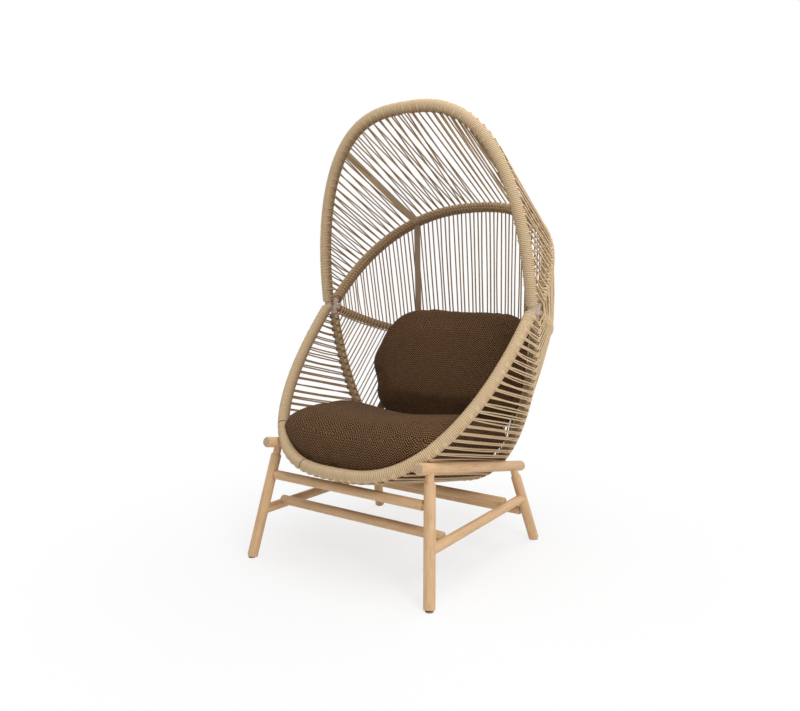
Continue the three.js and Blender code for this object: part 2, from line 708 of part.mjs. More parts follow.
for (const [name, side] of [['right', 1], ['left', -1]]) {
  const share = (value) => (side > 0 ? value : 1 - value);
  add(`pole_hub_${name}`, poleHub(side), 'coated');
  add(`hood_strut_${name}`, flatBar(hood, crown, share(HOOD_STRUT_SHARE), share(HOOD_STRUT_SHARE),
    WRAP_RADIUS, BINDING_RADIUS, 1), 'coated');
  add(`back_strut_${name}`, flatBar(crown, back, share(HOOD_STRUT_SHARE), share(BACK_STRUT_SHARE),
    BINDING_RADIUS, BINDING_RADIUS, 1), 'coated');
  add(`lumbar_strut_${name}`, flatBar(back, keel, share(BACK_STRUT_SHARE), share(LOWER_STRUT_SHARE),
    BINDING_RADIUS, BINDING_RADIUS, -1), 'coated');
  add(`seat_runner_${name}`, seatRunner(side), 'coated');
  boltSeats(side).forEach((place, index) => {
    add(`bolt_${BOLT_NAMES[index]}_${name}`, boltShape(place, 0), 'steel');
    add(`cross_nut_${BOLT_NAMES[index]}_${name}`, crossNut(place), 'steel');
  });
  add(`rail_${name}`, rail(side), 'teak');
  add(`side_rod_${name}`, sideRod(side), 'teak');
  for (const [end, front] of [['front', true], ['rear', false]]) {
    const [foot] = legLines(side, front);
    const glideTop = foot.clone().addScaledVector(UP, GLIDE_HEIGHT);
    add(`leg_${end}_${name}`, leg(side, front), 'teak');
    add(`glide_${end}_${name}`, rod(foot, glideTop, GLIDE_RADIUS), 'glide');
  }
}

add('front_rod', legRod(...frontRodLine, bothLegs(true), SHOULDER_GAP), 'teak');
add('rear_rod', legRod(...rearRodLine, bothLegs(false), SHOULDER_GAP), 'teak');
add('front_cross_rod', crossRod(FRONT_CROSS_Y), 'teak');
add('rear_cross_rod', crossRod(REAR_CROSS_Y), 'teak');
add('seat_cushion', seatCushion(), 'fabric');
add('back_cushion', backCushion(), 'fabric');

export default chair;
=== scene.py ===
"""A hooded pod chair: a cane-wound tube shell on a round-rod wooden base, with two loose cushions.

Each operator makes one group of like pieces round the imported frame. Sizes are in metres.
+Z is up, the sitter faces -Y, and the origin is on the floor under the middle of the chair.
"""

import math
from collections import namedtuple

import bmesh
import bpy
import numpy as np
from bpy.props import FloatProperty, FloatVectorProperty, PointerProperty
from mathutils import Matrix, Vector
from mathutils.kdtree import KDTree


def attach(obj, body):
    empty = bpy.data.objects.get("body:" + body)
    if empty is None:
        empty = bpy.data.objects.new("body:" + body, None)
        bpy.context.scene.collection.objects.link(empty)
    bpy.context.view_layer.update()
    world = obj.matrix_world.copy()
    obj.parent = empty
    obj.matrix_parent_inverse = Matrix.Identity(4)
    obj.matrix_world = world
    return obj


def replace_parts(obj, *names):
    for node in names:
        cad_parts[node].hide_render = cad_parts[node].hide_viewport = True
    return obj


bl_info = {
    "name": "Pod Chair",
    "version": (1, 0, 0),
    "blender": (4, 5, 0),
    "location": "View3D > Sidebar > Pod Chair",
    "description": "Makes the cane, wood, metal and cushions of a hooded pod chair",
    "category": "Add Mesh",
}

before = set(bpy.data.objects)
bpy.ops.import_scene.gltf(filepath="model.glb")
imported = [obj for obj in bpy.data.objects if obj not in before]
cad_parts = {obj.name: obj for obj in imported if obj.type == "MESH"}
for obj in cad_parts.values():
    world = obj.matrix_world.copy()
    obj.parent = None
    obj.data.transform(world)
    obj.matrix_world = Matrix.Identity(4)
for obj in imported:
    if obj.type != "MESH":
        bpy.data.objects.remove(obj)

FRAME_BODY = "frame"
SIDES = (("right", 1), ("left", -1))

# The shell's five bent tubes. Each rises from the poles to its apex; the higher its squareness and
# roundness, the fuller its curve. The pinch draws its flanks in, and the rear ones start set back.
RibForm = namedtuple("RibForm", "node apex_y apex_z squareness roundness pinch rear")
RIB_FORMS = {
    "hood": RibForm("hood_arch_tube", -0.066, 1.540, 2.7, 2.18, 0.0, False),
    "rim": RibForm("seat_rim_tube", -0.456, 0.350, 2.81, 2.6, 0.016, False),
    "crown": RibForm("crown_rib_tube", 0.433, 1.244, 2.31, 2.37, 0.0, True),
    "back": RibForm("back_rib_tube", 0.4679, 0.705, 2.35, 2.2, 0.0, True),
    "keel": RibForm("keel_rib_tube", 0.150, 0.221, 3.0, 2.56, 0.032, True),
}
RIB_SAMPLES = 1200
LOOP_TRIM = 0.0173
FAN_TRIM = 0.0313
HOLLOW_DEPTH = 0.3  # the middle of the shell's hollow, behind the poles

# Cane: where the rim's winding is joined, as shares of the rim, how much of a turn such a join
# darkens to each side, and how uneven turns and strands are
RIM_JOINS = (0.574, 0.700)
JOIN_WIDTH = 0.45
HASH_STEP, HASH_SCALE = 12.9898, 43758.5453
TURN_UNEVEN = 0.0007
STRAND_SWAY = 0.0022
STRAND_SAG = 0.0012
STRAND_THICKNESS = (0.92, 1.06)
NEAREST_TUBES = 1.3  # no strand where the tubes are nearer than this share of their two radii
UPRIGHT = 0.9  # from this rise on, a strand's cross section is laid out from another axis

# How far a face looks out of the shell where its cane takes the inside colour, painted shade, and
# the outer one
WINDING_FACING = (-0.9, 0.2)
STRAND_FACING = (-0.2, 0.5)
LASHING_FACING = (-0.5, 0.5)

# The angles, in degrees, at which a strand rounds a tube before it leaves it
INSIDE_WRAP = (60, 42, 26, 12, 0)
OUTSIDE_WRAP = (26, 17, 8, 0)
SHORT_WRAP = (20, 0)

# Turns over the winding: degrees of one step, the hood's tilt in degrees, and the lashings' pitch
TURN_STEP = 22
TOOTH_TILT = 38
LASHING_PITCH = {"crown": 0.0137, "back": 0.0155}

# How finely round things are divided
TURN_FACETS = 5
STRAND_FACETS = 6
TUBE_FACETS = 24
TUBE_RINGS = 160
ROD_FACETS = 40

# The base's lines on the right side, where the legs meet the rail, and the heights and depths of
# the lower rods' centre lines
RAIL_FRONT = (0.310, -0.442, 0.408)
RAIL_REAR = (0.310, 0.238, 0.275)
FRONT_FOOT = (0.365, -0.466, 0.0)
REAR_FOOT = (0.357, 0.262, 0.0)
FRONT_LEG_SETBACK = 0.062
REAR_LEG_SETBACK = 0.069
GLIDE_GAP = 0.0043
SIDE_ROD_HEIGHT = 0.164
END_ROD_HEIGHTS = {"front": 0.288, "rear": 0.110}
CROSS_ROD_DEPTHS = {"front": -0.342, "rear": 0.078}
CROSS_ROD_RISE = 0.016
CROSS_ROD_SETBACK = 0.006
SIDE_ROD_INSET = 0.004
TENON_INSET = 0.006
SHOULDER_GAP = 0.005
RAIL_CHAMFER = 0.004
ROD_CHAMFER = 0.002
METAL_ROUNDING = 0.0015

# Cushions: how far the pattern is drawn in, how near the strands it settles, how far it may dip
# between them, and how far it stays off a tube's cane
PATTERN_SHRINK = 0.006
SEAT_SETTLE = 0.075
BACK_SETTLE = 0.020
STRAND_DIP = -0.004
TUBE_ROOM = 0.002
SIDE_PANEL = 0.8  # where a face looks this much sideways, it is on a side panel
SWELL_FRAMES = 20

# Lamps: place, diameter and share of the main lamp's power
LAMP_AIM = (0, 0, 0.7)
LAMPS = {
    "key": ((2.8, -1.7, 2.8), 1.6, 0.85),
    "fill": ((-3.0, -1.0, 2.2), 2.4, 0.30),
    "overhead": ((0.7, -0.3, 3.6), 2.2, 0.60),
    "back": ((0.8, 2.8, 2.6), 1.8, 0.5),
}
WORLD_LIGHT = 0.42
FLOOR_REACH = 12.0
FLOOR_FADE = (0.3, 1.5)
FLOOR_NEAR_GLOW = 0.72


def length(name, description, default):
    """A size in metres."""
    return FloatProperty(name=name, description=description, default=default, unit="LENGTH")


def tint(name, description, default):
    """A colour."""
    return FloatVectorProperty(
        name=name, description=description, default=default, subtype="COLOR", size=3)


class ShellSizes(bpy.types.PropertyGroup):
    half_width: length("Half width", "From the middle plane to a pole", 0.437)
    pole_y: length("Pole depth", "Where the front loop turns at the sides", 0.034)
    pole_z: length("Pole height", "Height of both poles", 0.855)
    fan_setback: length("Fan setback", "How far behind the poles the rear tubes start", 0.026)
    loop_tube: length("Loop tube radius", "Tube of the hood and the seat rim", 0.014)
    fan_tube: length("Fan tube radius", "Tube of the three rear ribs", 0.0125)


class CaneSizes(bpy.types.PropertyGroup):
    wrap_radius: length("Wrap radius", "Outside of the cane wound on the front loop", 0.0200)
    ring_pitch: length("Ring pitch", "Width of one turn of the winding", 0.0060)
    strand_radius: length("Strand radius", "Half the thickness of one strand", 0.0028)
    rib_pitch: length(
        "Rib turn", "Width of one turn of the winding under the rib lashings", 0.0060)
    underlay: length(
        "Rib winding", "Thickness of the winding under the rib lashings", 0.0020)
    lean: length("Lean", "How far a strand moves up the hood on its way round it", 0.010)
    pair_pitch: length(
        "Pair pitch", "Distance between the pairs of strands on the front loop", 0.0297)
    even_pitch: length(
        "Even pitch", "Distance between single strands on the crown and back", 0.0190)
    colour: tint("Cane", "Colour of the cane outside the shell", (0.800, 0.620, 0.395))
    # The inside colour is painted shade, for cane that faces into the shell's hollow
    inner: tint("Cane inside", "Colour of the cane inside the shell", (0.400, 0.270, 0.150))
    # The groove colour is painted shade for the grooves between turns and the gaps by the teeth
    # and lashings, and the colour of the dark joins
    dark: tint(
        "Cane in the grooves", "Colour of the cane deep in the winding", (0.210, 0.135, 0.072))


class WoodSizes(bpy.types.PropertyGroup):
    rail_radius: length("Rail radius", "Half the thickness of the rails", 0.018)
    leg_radius: length("Leg radius", "Half the thickness of the legs", 0.018)
    rod_radius: length("Rod radius", "Half the thickness of the lower rods", 0.016)
    neck_radius: length("Neck radius", "Half the thickness of a leg's neck", 0.0135)
    neck_length: length("Neck length", "How much neck shows under the rail", 0.024)
    tenon_radius: length("Tenon radius", "Half the thickness of a rod's tenon", 0.009)
    colour: tint("Wood", "Main colour of the wood", (0.680, 0.445, 0.245))
    dark: tint("Grain", "Colour of the darker grain", (0.420, 0.240, 0.115))


class CushionSizes(bpy.types.PropertyGroup):
    voxel: length("Voxel", "Mesh size of the simulated cover", 0.006)
    pressure: FloatProperty(
        name="Pressure", description="Air pressure that swells the cover", default=4.0)
    swell_cap: length("Swell cap", "How far the cover may move from its pattern", 0.014)
    seat_fill: FloatProperty(
        name="Seat fill", description="How full the seat cushion is", default=0.75)
    back_fill: FloatProperty(
        name="Back fill", description="How full the back cushion is", default=0.7)
    colour: tint("Thread", "Colour of the lighter threads", (0.216, 0.107, 0.050))
    dark: tint("Ground", "Colour of the darker threads", (0.060, 0.028, 0.014))
    fleck: tint("Fleck", "Colour of the tan flecks", (0.460, 0.275, 0.125))


class StageSizes(bpy.types.PropertyGroup):
    camera_place: FloatVectorProperty(
        name="Camera", description="Where the camera stands", size=3, subtype="TRANSLATION",
        unit="LENGTH", default=(1.46683, -2.17778, 0.95864))
    camera_aim: FloatVectorProperty(
        name="Aim", description="The point that the camera looks at", size=3,
        subtype="TRANSLATION", unit="LENGTH", default=(-0.39579, 0.467, 0.62010))
    focal_length: FloatProperty(
        name="Focal length", description="Of the lens, in millimetres", default=32.98)
    lamp_power: FloatProperty(
        name="Lamp power", description="Power of the main lamp", default=62.0, unit="POWER")


def settings(name):
    return getattr(bpy.context.scene, name)


# Lines of the shell

def unit(vectors):
    return vectors / np.linalg.norm(vectors, axis=-1, keepdims=True)


def spaced_angles(sides):
    return 2 * np.pi * np.arange(sides) / sides


def rib_line(name):
    """A bent tube's centre line as evenly spaced points from the right pole to the left, and its
    length."""
    shell = settings("pod_shell")
    form = RIB_FORMS[name]
    start_y = shell.pole_y + (shell.fan_setback if form.rear else 0.0)
    angle = np.pi * (1 - np.cos(np.linspace(0, np.pi, 4 * RIB_SAMPLES))) / 2
    across = np.cos(angle)
    rise = np.abs(np.sin(angle)) ** (2 / form.roundness)
    points = np.stack([
        shell.half_width * np.sign(across) * np.abs(across) ** (2 / form.squareness)
        - form.pinch * np.sin(2 * angle),
        start_y + (form.apex_y - start_y) * rise,
        shell.pole_z + (form.apex_z - shell.pole_z) * rise,
    ], axis=1)
    steps = np.linalg.norm(np.diff(points, axis=0), axis=1)
    along = np.concatenate([[0.0], np.cumsum(steps)])
    even = np.linspace(0, along[-1], RIB_SAMPLES)
    line = np.stack([np.interp(even, along, points[:, axis]) for axis in range(3)], axis=1)
    return line, along[-1]


class Rib:
    """A bent tube between its two trimmed ends, with a point, a direction and two cross axes at
    each share of its length."""

    def __init__(self, name, trim):
        self.line, self.length = rib_line(name)
        self.trim = trim / self.length

    def at(self, share):
        full = self.trim + (1 - 2 * self.trim) * np.asarray(share, dtype=float)
        place = np.clip(full, 0, 1) * (RIB_SAMPLES - 1)
        return np.stack([np.interp(place, np.arange(RIB_SAMPLES), self.line[:, axis])
                         for axis in range(3)], axis=-1)

    def direction(self, share):
        step = 1.5 / RIB_SAMPLES
        return unit(self.at(np.asarray(share) + step) - self.at(np.asarray(share) - step))

    def cross_axes(self, share):
        """Two unit axes across the tube: towards the middle of the shell, and along its skin."""
        shell = settings("pod_shell")
        tangent = self.direction(share)
        inward = np.array([0.0, shell.pole_y, shell.pole_z]) - self.at(share)
        inward -= tangent * np.sum(inward * tangent, axis=-1, keepdims=True)
        inward = unit(inward)
        return inward, np.cross(tangent, inward)

    def turns(self, pitch):
        """How many turns of that pitch fit between the trimmed ends, with the fraction."""
        return self.length * (1 - 2 * self.trim) / pitch


def trimmed_ribs():
    return {name: Rib(name, FAN_TRIM if form.rear else LOOP_TRIM)
            for name, form in RIB_FORMS.items()}


def hollow_middle():
    """A point in the middle of the shell's hollow."""
    shell = settings("pod_shell")
    return np.array([0.0, shell.pole_y + HOLLOW_DEPTH, shell.pole_z])


def spread_shares(count):
    """The middles of that many equal shares of a tube."""
    return (np.arange(count) + 0.5) / count


# Mesh helpers

def ring_grid(centre, radius, angles, first, second):
    """Rings of points round a line, one for each pair of cross axes."""
    return centre[:, None, :] + radius * (
        np.cos(angles)[None, :, None] * first[:, None, :]
        + np.sin(angles)[None, :, None] * second[:, None, :])


def points_of(piece):
    flat = np.empty(len(piece.data.vertices) * 3)
    piece.data.vertices.foreach_get("co", flat)
    return flat.reshape(-1, 3)


def move_points(piece, points):
    piece.data.vertices.foreach_set("co", points.ravel())
    piece.data.update()


def store(piece, name, values, domain="POINT"):
    """Stores a number or a vector for each point or face corner of the piece."""
    kind, field = ("FLOAT", "value") if values.ndim == 1 else ("FLOAT_VECTOR", "vector")
    attribute = piece.data.attributes.new(name, kind, domain)
    attribute.data.foreach_set(field, values.astype(np.float32).ravel())


class MeshPool:
    """Gathers many small sweeps into one mesh."""

    def __init__(self):
        self.vertices = []
        self.groove_shades_and_joins = []
        self.faces = []
        self.count = 0

    def add_grid(self, grid, groove_shade_and_join=0.0):
        """Adds a sweep: grid holds closed rings of points, and the second argument how dark each
        point is painted: painted shade in grooves and gaps, and dark joins.
        """
        rings, sides = grid.shape[:2]
        self.vertices.append(grid.reshape(-1, 3))
        self.groove_shades_and_joins.append(np.broadcast_to(groove_shade_and_join, (rings, sides)).ravel())
        index = self.count + np.arange(rings * sides).reshape(rings, sides)
        self.count += rings * sides
        following = np.roll(index, -1, axis=1)
        quads = np.stack([index[:-1], following[:-1], following[1:], index[1:]], axis=-1)
        self.faces.extend(quads.reshape(-1, 4).tolist())
        self.faces.append(index[0, ::-1].tolist())
        self.faces.append(index[-1].tolist())

    def add_path(self, points, radius, sides, groove_shade_and_join=0.0):
        """Adds a round strand along a path."""
        tangent = unit(np.gradient(points, axis=0))
        normal = np.zeros_like(points)
        normal[0] = (0.0, 0.0, 1.0) if abs(tangent[0][2]) < UPRIGHT else (1.0, 0.0, 0.0)
        for index in range(len(points)):
            start = normal[max(index - 1, 0)]
            across = start - tangent[index] * np.dot(start, tangent[index])
            normal[index] = across / np.linalg.norm(across)
        self.add_grid(ring_grid(points, radius, spaced_angles(sides), normal,
                                np.cross(tangent, normal)), groove_shade_and_join)

    def piece(self, name, finish):
        """Makes the piece on the frame's body, in the finish of that name."""
        mesh = bpy.data.meshes.new(name)
        mesh.from_pydata(np.concatenate(self.vertices).tolist(), [], self.faces)
        mesh.polygons.foreach_set("use_smooth", [True] * len(mesh.polygons))
        mesh.materials.append(finish_named(finish))
        piece = bpy.data.objects.new(name, mesh)
        bpy.context.scene.collection.objects.link(piece)
        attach(piece, FRAME_BODY)
        return piece

    def cane_piece(self, name, low, high):
        """Makes the piece in cane, with its painted shade and joins, and how far each point faces
        out of the shell:
        0 where its facing is low or less, which takes the painted shade of the inside, 1 where it
        is high or more."""
        piece = self.piece(name, "cane")
        normals = np.empty(len(piece.data.vertices) * 3)
        piece.data.vertices.foreach_get("normal", normals)
        outward = unit(np.concatenate(self.vertices) - hollow_middle())
        facing = np.sum(normals.reshape(-1, 3) * outward, axis=1)
        store(piece, "groove_shade_and_join", np.concatenate(self.groove_shades_and_joins))
        store(piece, "outer", np.clip((facing - low) / (high - low), 0, 1))
        return piece


def turned(name, start, end, profile, finish):
    """A turned rod: profile holds (distance from start, radius) pairs."""
    turn = np.array((end - start).normalized().to_track_quat("Z", "Y").to_matrix())
    angles = spaced_angles(ROD_FACETS)
    ring = np.stack([np.cos(angles), np.sin(angles), np.zeros(ROD_FACETS)], axis=1)
    pool = MeshPool()
    pool.add_grid(np.stack([
        np.array(start) + (ring * radius + np.array([0, 0, distance])) @ turn.T
        for distance, radius in profile]))
    piece = pool.piece(name, finish)
    piece.data.set_sharp_from_angle(angle=math.radians(35))
    return piece


# Material helpers

def new_group(name, inputs, outputs):
    """An empty node group with its inputs (name, kind, default) and its outputs (names)."""
    group = bpy.data.node_groups.new(name, "ShaderNodeTree")
    for socket, kind, value in inputs:
        made = group.interface.new_socket(name=socket, in_out="INPUT", socket_type=kind)
        if value is not None:
            made.default_value = value
    for socket in outputs:
        group.interface.new_socket(name=socket, in_out="OUTPUT", socket_type="NodeSocketFloat")
    return group, group.nodes.new("NodeGroupInput"), group.nodes.new("NodeGroupOutput")


def node(tree, kind, inputs=None, **options):
    made = tree.nodes.new(kind)
    for option, value in options.items():
        setattr(made, option, value)
    for socket, value in (inputs or {}).items():
        if isinstance(value, bpy.types.NodeSocket):
            tree.links.new(value, made.inputs[socket])
        else:
            made.inputs[socket].default_value = value
    return made


def math_node(tree, operation, *values):
    return node(tree, "ShaderNodeMath", dict(enumerate(values)), operation=operation).outputs[0]


def colour_mix(tree, share, first, second, blend="MIX"):
    """Mixes two colours, each of them a socket or three numbers."""
    first, second = (value if isinstance(value, bpy.types.NodeSocket) else (*value, 1.0)
                     for value in (first, second))
    return node(tree, "ShaderNodeMix", {0: share, 6: first, 7: second},
                data_type="RGBA", blend_type=blend).outputs[2]


def noise(tree, place, scale, detail, roughness=0.5):
    return node(tree, "ShaderNodeTexNoise", {
        "Vector": place, "Scale": scale, "Detail": detail, "Roughness": roughness}).outputs[0]


def remap(tree, value, spread=(0.0, 1.0), source=(0.0, 1.0), interpolation="LINEAR"):
    """Takes the numbers between the two in source to the numbers between the two in spread."""
    return node(tree, "ShaderNodeMapRange", {
        0: value, 1: source[0], 2: source[1], 3: spread[0], 4: spread[1]},
        interpolation_type=interpolation).outputs[0]


def stored(tree, name, output="Fac"):
    return node(tree, "ShaderNodeAttribute", attribute_name=name).outputs[output]


def object_place(tree):
    return node(tree, "ShaderNodeTexCoord").outputs["Object"]


def seen_directly(tree):
    """1 for rays of the camera and of mirror and clear surfaces, and 0 for the rays that light."""
    path = node(tree, "ShaderNodeLightPath")
    return math_node(tree, "MAXIMUM", path.outputs["Is Camera Ray"], math_node(
        tree, "MAXIMUM", path.outputs["Is Glossy Ray"], path.outputs["Is Transmission Ray"]))


def shaded(colour, factor):
    return [part * factor for part in colour]


def new_material(name, **values):
    """A material, its tree and its shader, with values for the shader's inputs."""
    material = bpy.data.materials.new(f"pod_{name}")
    material.use_nodes = True
    shader = material.node_tree.nodes["Principled BSDF"]
    for socket, value in values.items():
        shader.inputs[socket.replace("_", " ")].default_value = value
    return material, material.node_tree, shader


def dress(tree, shader, tone, grain, roughness=None, bump=None):
    """Gives the shader its colour, a roughness between two values and a bump of that strength and
    depth, both of which follow the grain."""
    tree.links.new(tone, shader.inputs["Base Color"])
    if roughness:
        tree.links.new(remap(tree, grain, roughness), shader.inputs["Roughness"])
    if bump:
        skin = node(tree, "ShaderNodeBump", {
            "Strength": bump[0], "Distance": bump[1], "Height": grain})
        tree.links.new(skin.outputs[0], shader.inputs["Normal"])


# Shared surface effects

def streaks(tree, along, fineness, stretch):
    """Places the shared streaks: a fine one along one axis, for fibres, and broad patches."""
    group = bpy.data.node_groups.get("Streaks")
    if not group:
        group, inlet, outlet = new_group(
            "Streaks",
            [("Along", "NodeSocketVector", None), ("Fineness", "NodeSocketFloat", 400.0),
             ("Stretch", "NodeSocketFloat", 0.04)], ["Streak", "Patch"])
        stretched = node(group, "ShaderNodeSeparateXYZ", {0: inlet.outputs["Along"]})
        squeezed = node(group, "ShaderNodeCombineXYZ", {
            0: stretched.outputs[0], 1: stretched.outputs[1],
            2: math_node(group, "MULTIPLY", stretched.outputs[2], inlet.outputs["Stretch"])})
        group.links.new(noise(group, squeezed.outputs[0], inlet.outputs["Fineness"], 4.0, 0.6),
                        outlet.inputs["Streak"])
        group.links.new(noise(group, inlet.outputs["Along"], 14.0, 3.0), outlet.inputs["Patch"])
    placed = node(tree, "ShaderNodeGroup", {
        "Along": along, "Fineness": fineness, "Stretch": stretch}, node_tree=group)
    return placed.outputs["Streak"], placed.outputs["Patch"]


def herringbone(tree, pattern):
    """Places the shared weave on a flat pattern: the threads' height, a random value for each
    thread, and flecks."""
    group = bpy.data.node_groups.get("Herringbone")
    if not group:
        group, inlet, outlet = new_group(
            "Herringbone",
            [("Pattern", "NodeSocketVector", None), ("Column", "NodeSocketFloat", 0.0126),
             ("Pick", "NodeSocketFloat", 0.0079), ("Slant", "NodeSocketFloat", 1.5),
             ("Yarn", "NodeSocketFloat", 0.0050)], ["Height", "Thread", "Fleck"])

        def calc(operation, *values):
            return math_node(group, operation, *values)

        parts = node(group, "ShaderNodeSeparateXYZ", {0: inlet.outputs["Pattern"]})
        column = calc("DIVIDE", parts.outputs[0], inlet.outputs["Column"])
        picks = calc("ADD", calc("DIVIDE", parts.outputs[1], inlet.outputs["Pick"]),
                     calc("MULTIPLY", calc("PINGPONG", column, 1.0), inlet.outputs["Slant"]))
        wave = calc("ABSOLUTE", calc("SINE", calc("MULTIPLY", picks, math.pi)))
        yarn = calc("DIVIDE", parts.outputs[0], inlet.outputs["Yarn"])
        edge = calc("ABSOLUTE", calc("SINE", calc("MULTIPLY", yarn, math.pi)))
        cell = node(group, "ShaderNodeCombineXYZ", {
            0: calc("FLOOR", column), 1: calc("FLOOR", picks)})
        thread = node(group, "ShaderNodeTexWhiteNoise", {"Vector": cell.outputs[0]},
                      noise_dimensions="2D")
        for socket, value in (
                ("Height", calc("MULTIPLY", calc("POWER", wave, 1.2), calc("POWER", edge, 0.5))),
                ("Thread", thread.outputs[0]),
                ("Fleck", noise(group, inlet.outputs["Pattern"], 420.0, 3.0, 0.7))):
            group.links.new(value, outlet.inputs[socket])
    placed = node(tree, "ShaderNodeGroup", {"Pattern": pattern}, node_tree=group)
    return (placed.outputs[name] for name in ("Height", "Thread", "Fleck"))


# Materials

def cane_material(name):
    """Wound synthetic cane: tan with fine fibres and uneven tones, with painted shade in the
    grooves between turns, in the gaps and inside the shell, and dark joins.
    """
    cane = settings("pod_cane")
    material, tree, shader = new_material(name, Roughness=0.55, Specular_IOR_Level=0.25)
    place = object_place(tree)
    streak, patch = streaks(tree, place, 900.0, 1.0)
    # Painted shade: cane facing into the shell takes the inside colour, cane facing out the outer
    # one
    base = colour_mix(tree, stored(tree, "outer"), cane.inner, cane.colour)
    tone = colour_mix(tree, patch, (0.97, 0.84, 0.76), (1.0, 1.0, 0.96))
    tone = colour_mix(tree, math_node(tree, "MULTIPLY", noise(tree, place, 26.0, 3.0), 0.5), tone,
                      (0.70, 0.70, 0.70))
    tone = colour_mix(tree, math_node(tree, "MULTIPLY", streak, 0.35), tone, (0.76, 0.74, 0.70))
    tone = colour_mix(tree, 1.0, base, tone, blend="MULTIPLY")
    # Painted shade in the grooves and gaps, and the dark joins, in the groove colour
    tone = colour_mix(tree, stored(tree, "groove_shade_and_join"), tone, cane.dark)
    dress(tree, shader, tone, streak, roughness=(0.48, 0.70), bump=(0.25, 0.0006))
    return material


def coated_material(name, low, high):
    """Powder-coated metal, between two tones, with a fine orange-peel skin."""
    material, tree, shader = new_material(name, Roughness=0.42, Specular_IOR_Level=0.3)
    place = object_place(tree)
    broad = noise(tree, place, 9.0, 4.0)
    dress(tree, shader, colour_mix(tree, broad, low, high), broad, roughness=(0.34, 0.48))
    peel = node(tree, "ShaderNodeBump", {
        "Strength": 0.12, "Distance": 0.0002, "Height": noise(tree, place, 1400.0, 2.0)})
    tree.links.new(peel.outputs[0], shader.inputs["Normal"])
    return material


def wood_material(name, end_grain):
    """Sanded teak: long grain along each rod, or rings on a cut end."""
    wood = settings("pod_wood")
    material, tree, shader = new_material(name, Roughness=0.55)
    along = stored(tree, "along", "Vector")
    pore, patch = streaks(tree, along, 520.0, 0.035)
    band, _ = streaks(tree, along, 95.0, 0.09)
    tone = colour_mix(tree, remap(tree, band, source=(0.42, 0.62)), wood.colour, wood.dark)
    tone = colour_mix(tree, 0.55, wood.colour, tone)
    tone = colour_mix(tree, math_node(tree, "MULTIPLY", patch, 0.8), tone,
                      shaded(wood.colour, 1.18))
    tone = colour_mix(tree, remap(tree, pore, (0.0, 0.55), (0.52, 0.72)), tone, wood.dark)
    if end_grain:
        across = node(tree, "ShaderNodeVectorMath", {0: along, 1: (1.0, 1.0, 0.0)},
                      operation="MULTIPLY").outputs[0]
        rings = node(tree, "ShaderNodeTexWave", {
            "Vector": across, "Scale": 110.0, "Distortion": 3.0, "Detail": 2.0},
            wave_type="RINGS").outputs[0]
        cut = colour_mix(tree, rings, (0.34, 0.25, 0.17), (0.50, 0.40, 0.29))
        tone = colour_mix(tree, 0.75, tone, cut)
    dress(tree, shader, tone, pore, roughness=(0.48, 0.72), bump=(0.3, 0.0005))
    return material


def steel_material(name):
    """Plain zinc-plated fixings with light scratches."""
    material, tree, shader = new_material(name, Roughness=0.35, Metallic=1.0)
    scratch = noise(tree, object_place(tree), 600.0, 3.0)
    tone = colour_mix(tree, scratch, (0.42, 0.41, 0.40), (0.62, 0.61, 0.60))
    dress(tree, shader, tone, scratch, roughness=(0.28, 0.5))
    return material


def glide_material(name):
    """Grey-brown moulded plastic with a fine grain."""
    material, tree, shader = new_material(name, Roughness=0.6)
    grain = noise(tree, object_place(tree), 700.0, 3.0)
    tone = colour_mix(tree, grain, (0.20, 0.17, 0.14), (0.28, 0.25, 0.21))
    dress(tree, shader, tone, grain, bump=(0.2, 0.0003))
    return material


def fabric_material(name):
    """Dark brown herringbone cloth with tan flecks, and painted shade in the weave's low parts."""
    pad = settings("pod_cushion")
    material, tree, shader = new_material(
        name, Roughness=0.95, Specular_IOR_Level=0.10, Sheen_Weight=0.01, Sheen_Roughness=0.6)
    height, thread, fleck = herringbone(tree, stored(tree, "cloth", "Vector"))
    tone = colour_mix(tree, thread, pad.dark, pad.colour)
    tone = colour_mix(tree, 0.6, tone, pad.colour)
    light = math_node(tree, "MULTIPLY", remap(tree, fleck, (0.3, 0.9), (0.52, 0.72)), height)
    tone = colour_mix(tree, light, tone, pad.fleck)
    broad = noise(tree, object_place(tree), 5.0, 3.0)
    tone = colour_mix(tree, math_node(tree, "MULTIPLY", broad, 0.2), tone,
                      shaded(pad.colour, 1.3))
    # The weave's low parts go near black: painted shade between the threads
    tone = colour_mix(tree, remap(tree, height, (1.0, 0.0), (0.35, 0.8)), tone,
                      shaded(pad.dark, 0.15))
    dress(tree, shader, tone, height, bump=(0.6, 0.0012))
    return material


def floor_material(name):
    """Pale floor with the object's shadow; the camera and reflections see it fade to white."""
    material, tree, shader = new_material(name, Roughness=0.9)
    shader.inputs["Base Color"].default_value = (0.90, 0.90, 0.90, 1.0)
    distance = node(tree, "ShaderNodeVectorMath", {0: object_place(tree)},
                    operation="LENGTH").outputs["Value"]
    fade = remap(tree, distance, (FLOOR_NEAR_GLOW, 1.0), FLOOR_FADE, "SMOOTHSTEP")
    glow = node(tree, "ShaderNodeEmission", {0: (1, 1, 1, 1), 1: 1.0})
    blend = node(tree, "ShaderNodeMixShader", {
        0: math_node(tree, "MULTIPLY", seen_directly(tree), fade),
        1: shader.outputs[0], 2: glow.outputs[0]})
    tree.links.new(blend.outputs[0], tree.nodes["Material Output"].inputs["Surface"])
    return material


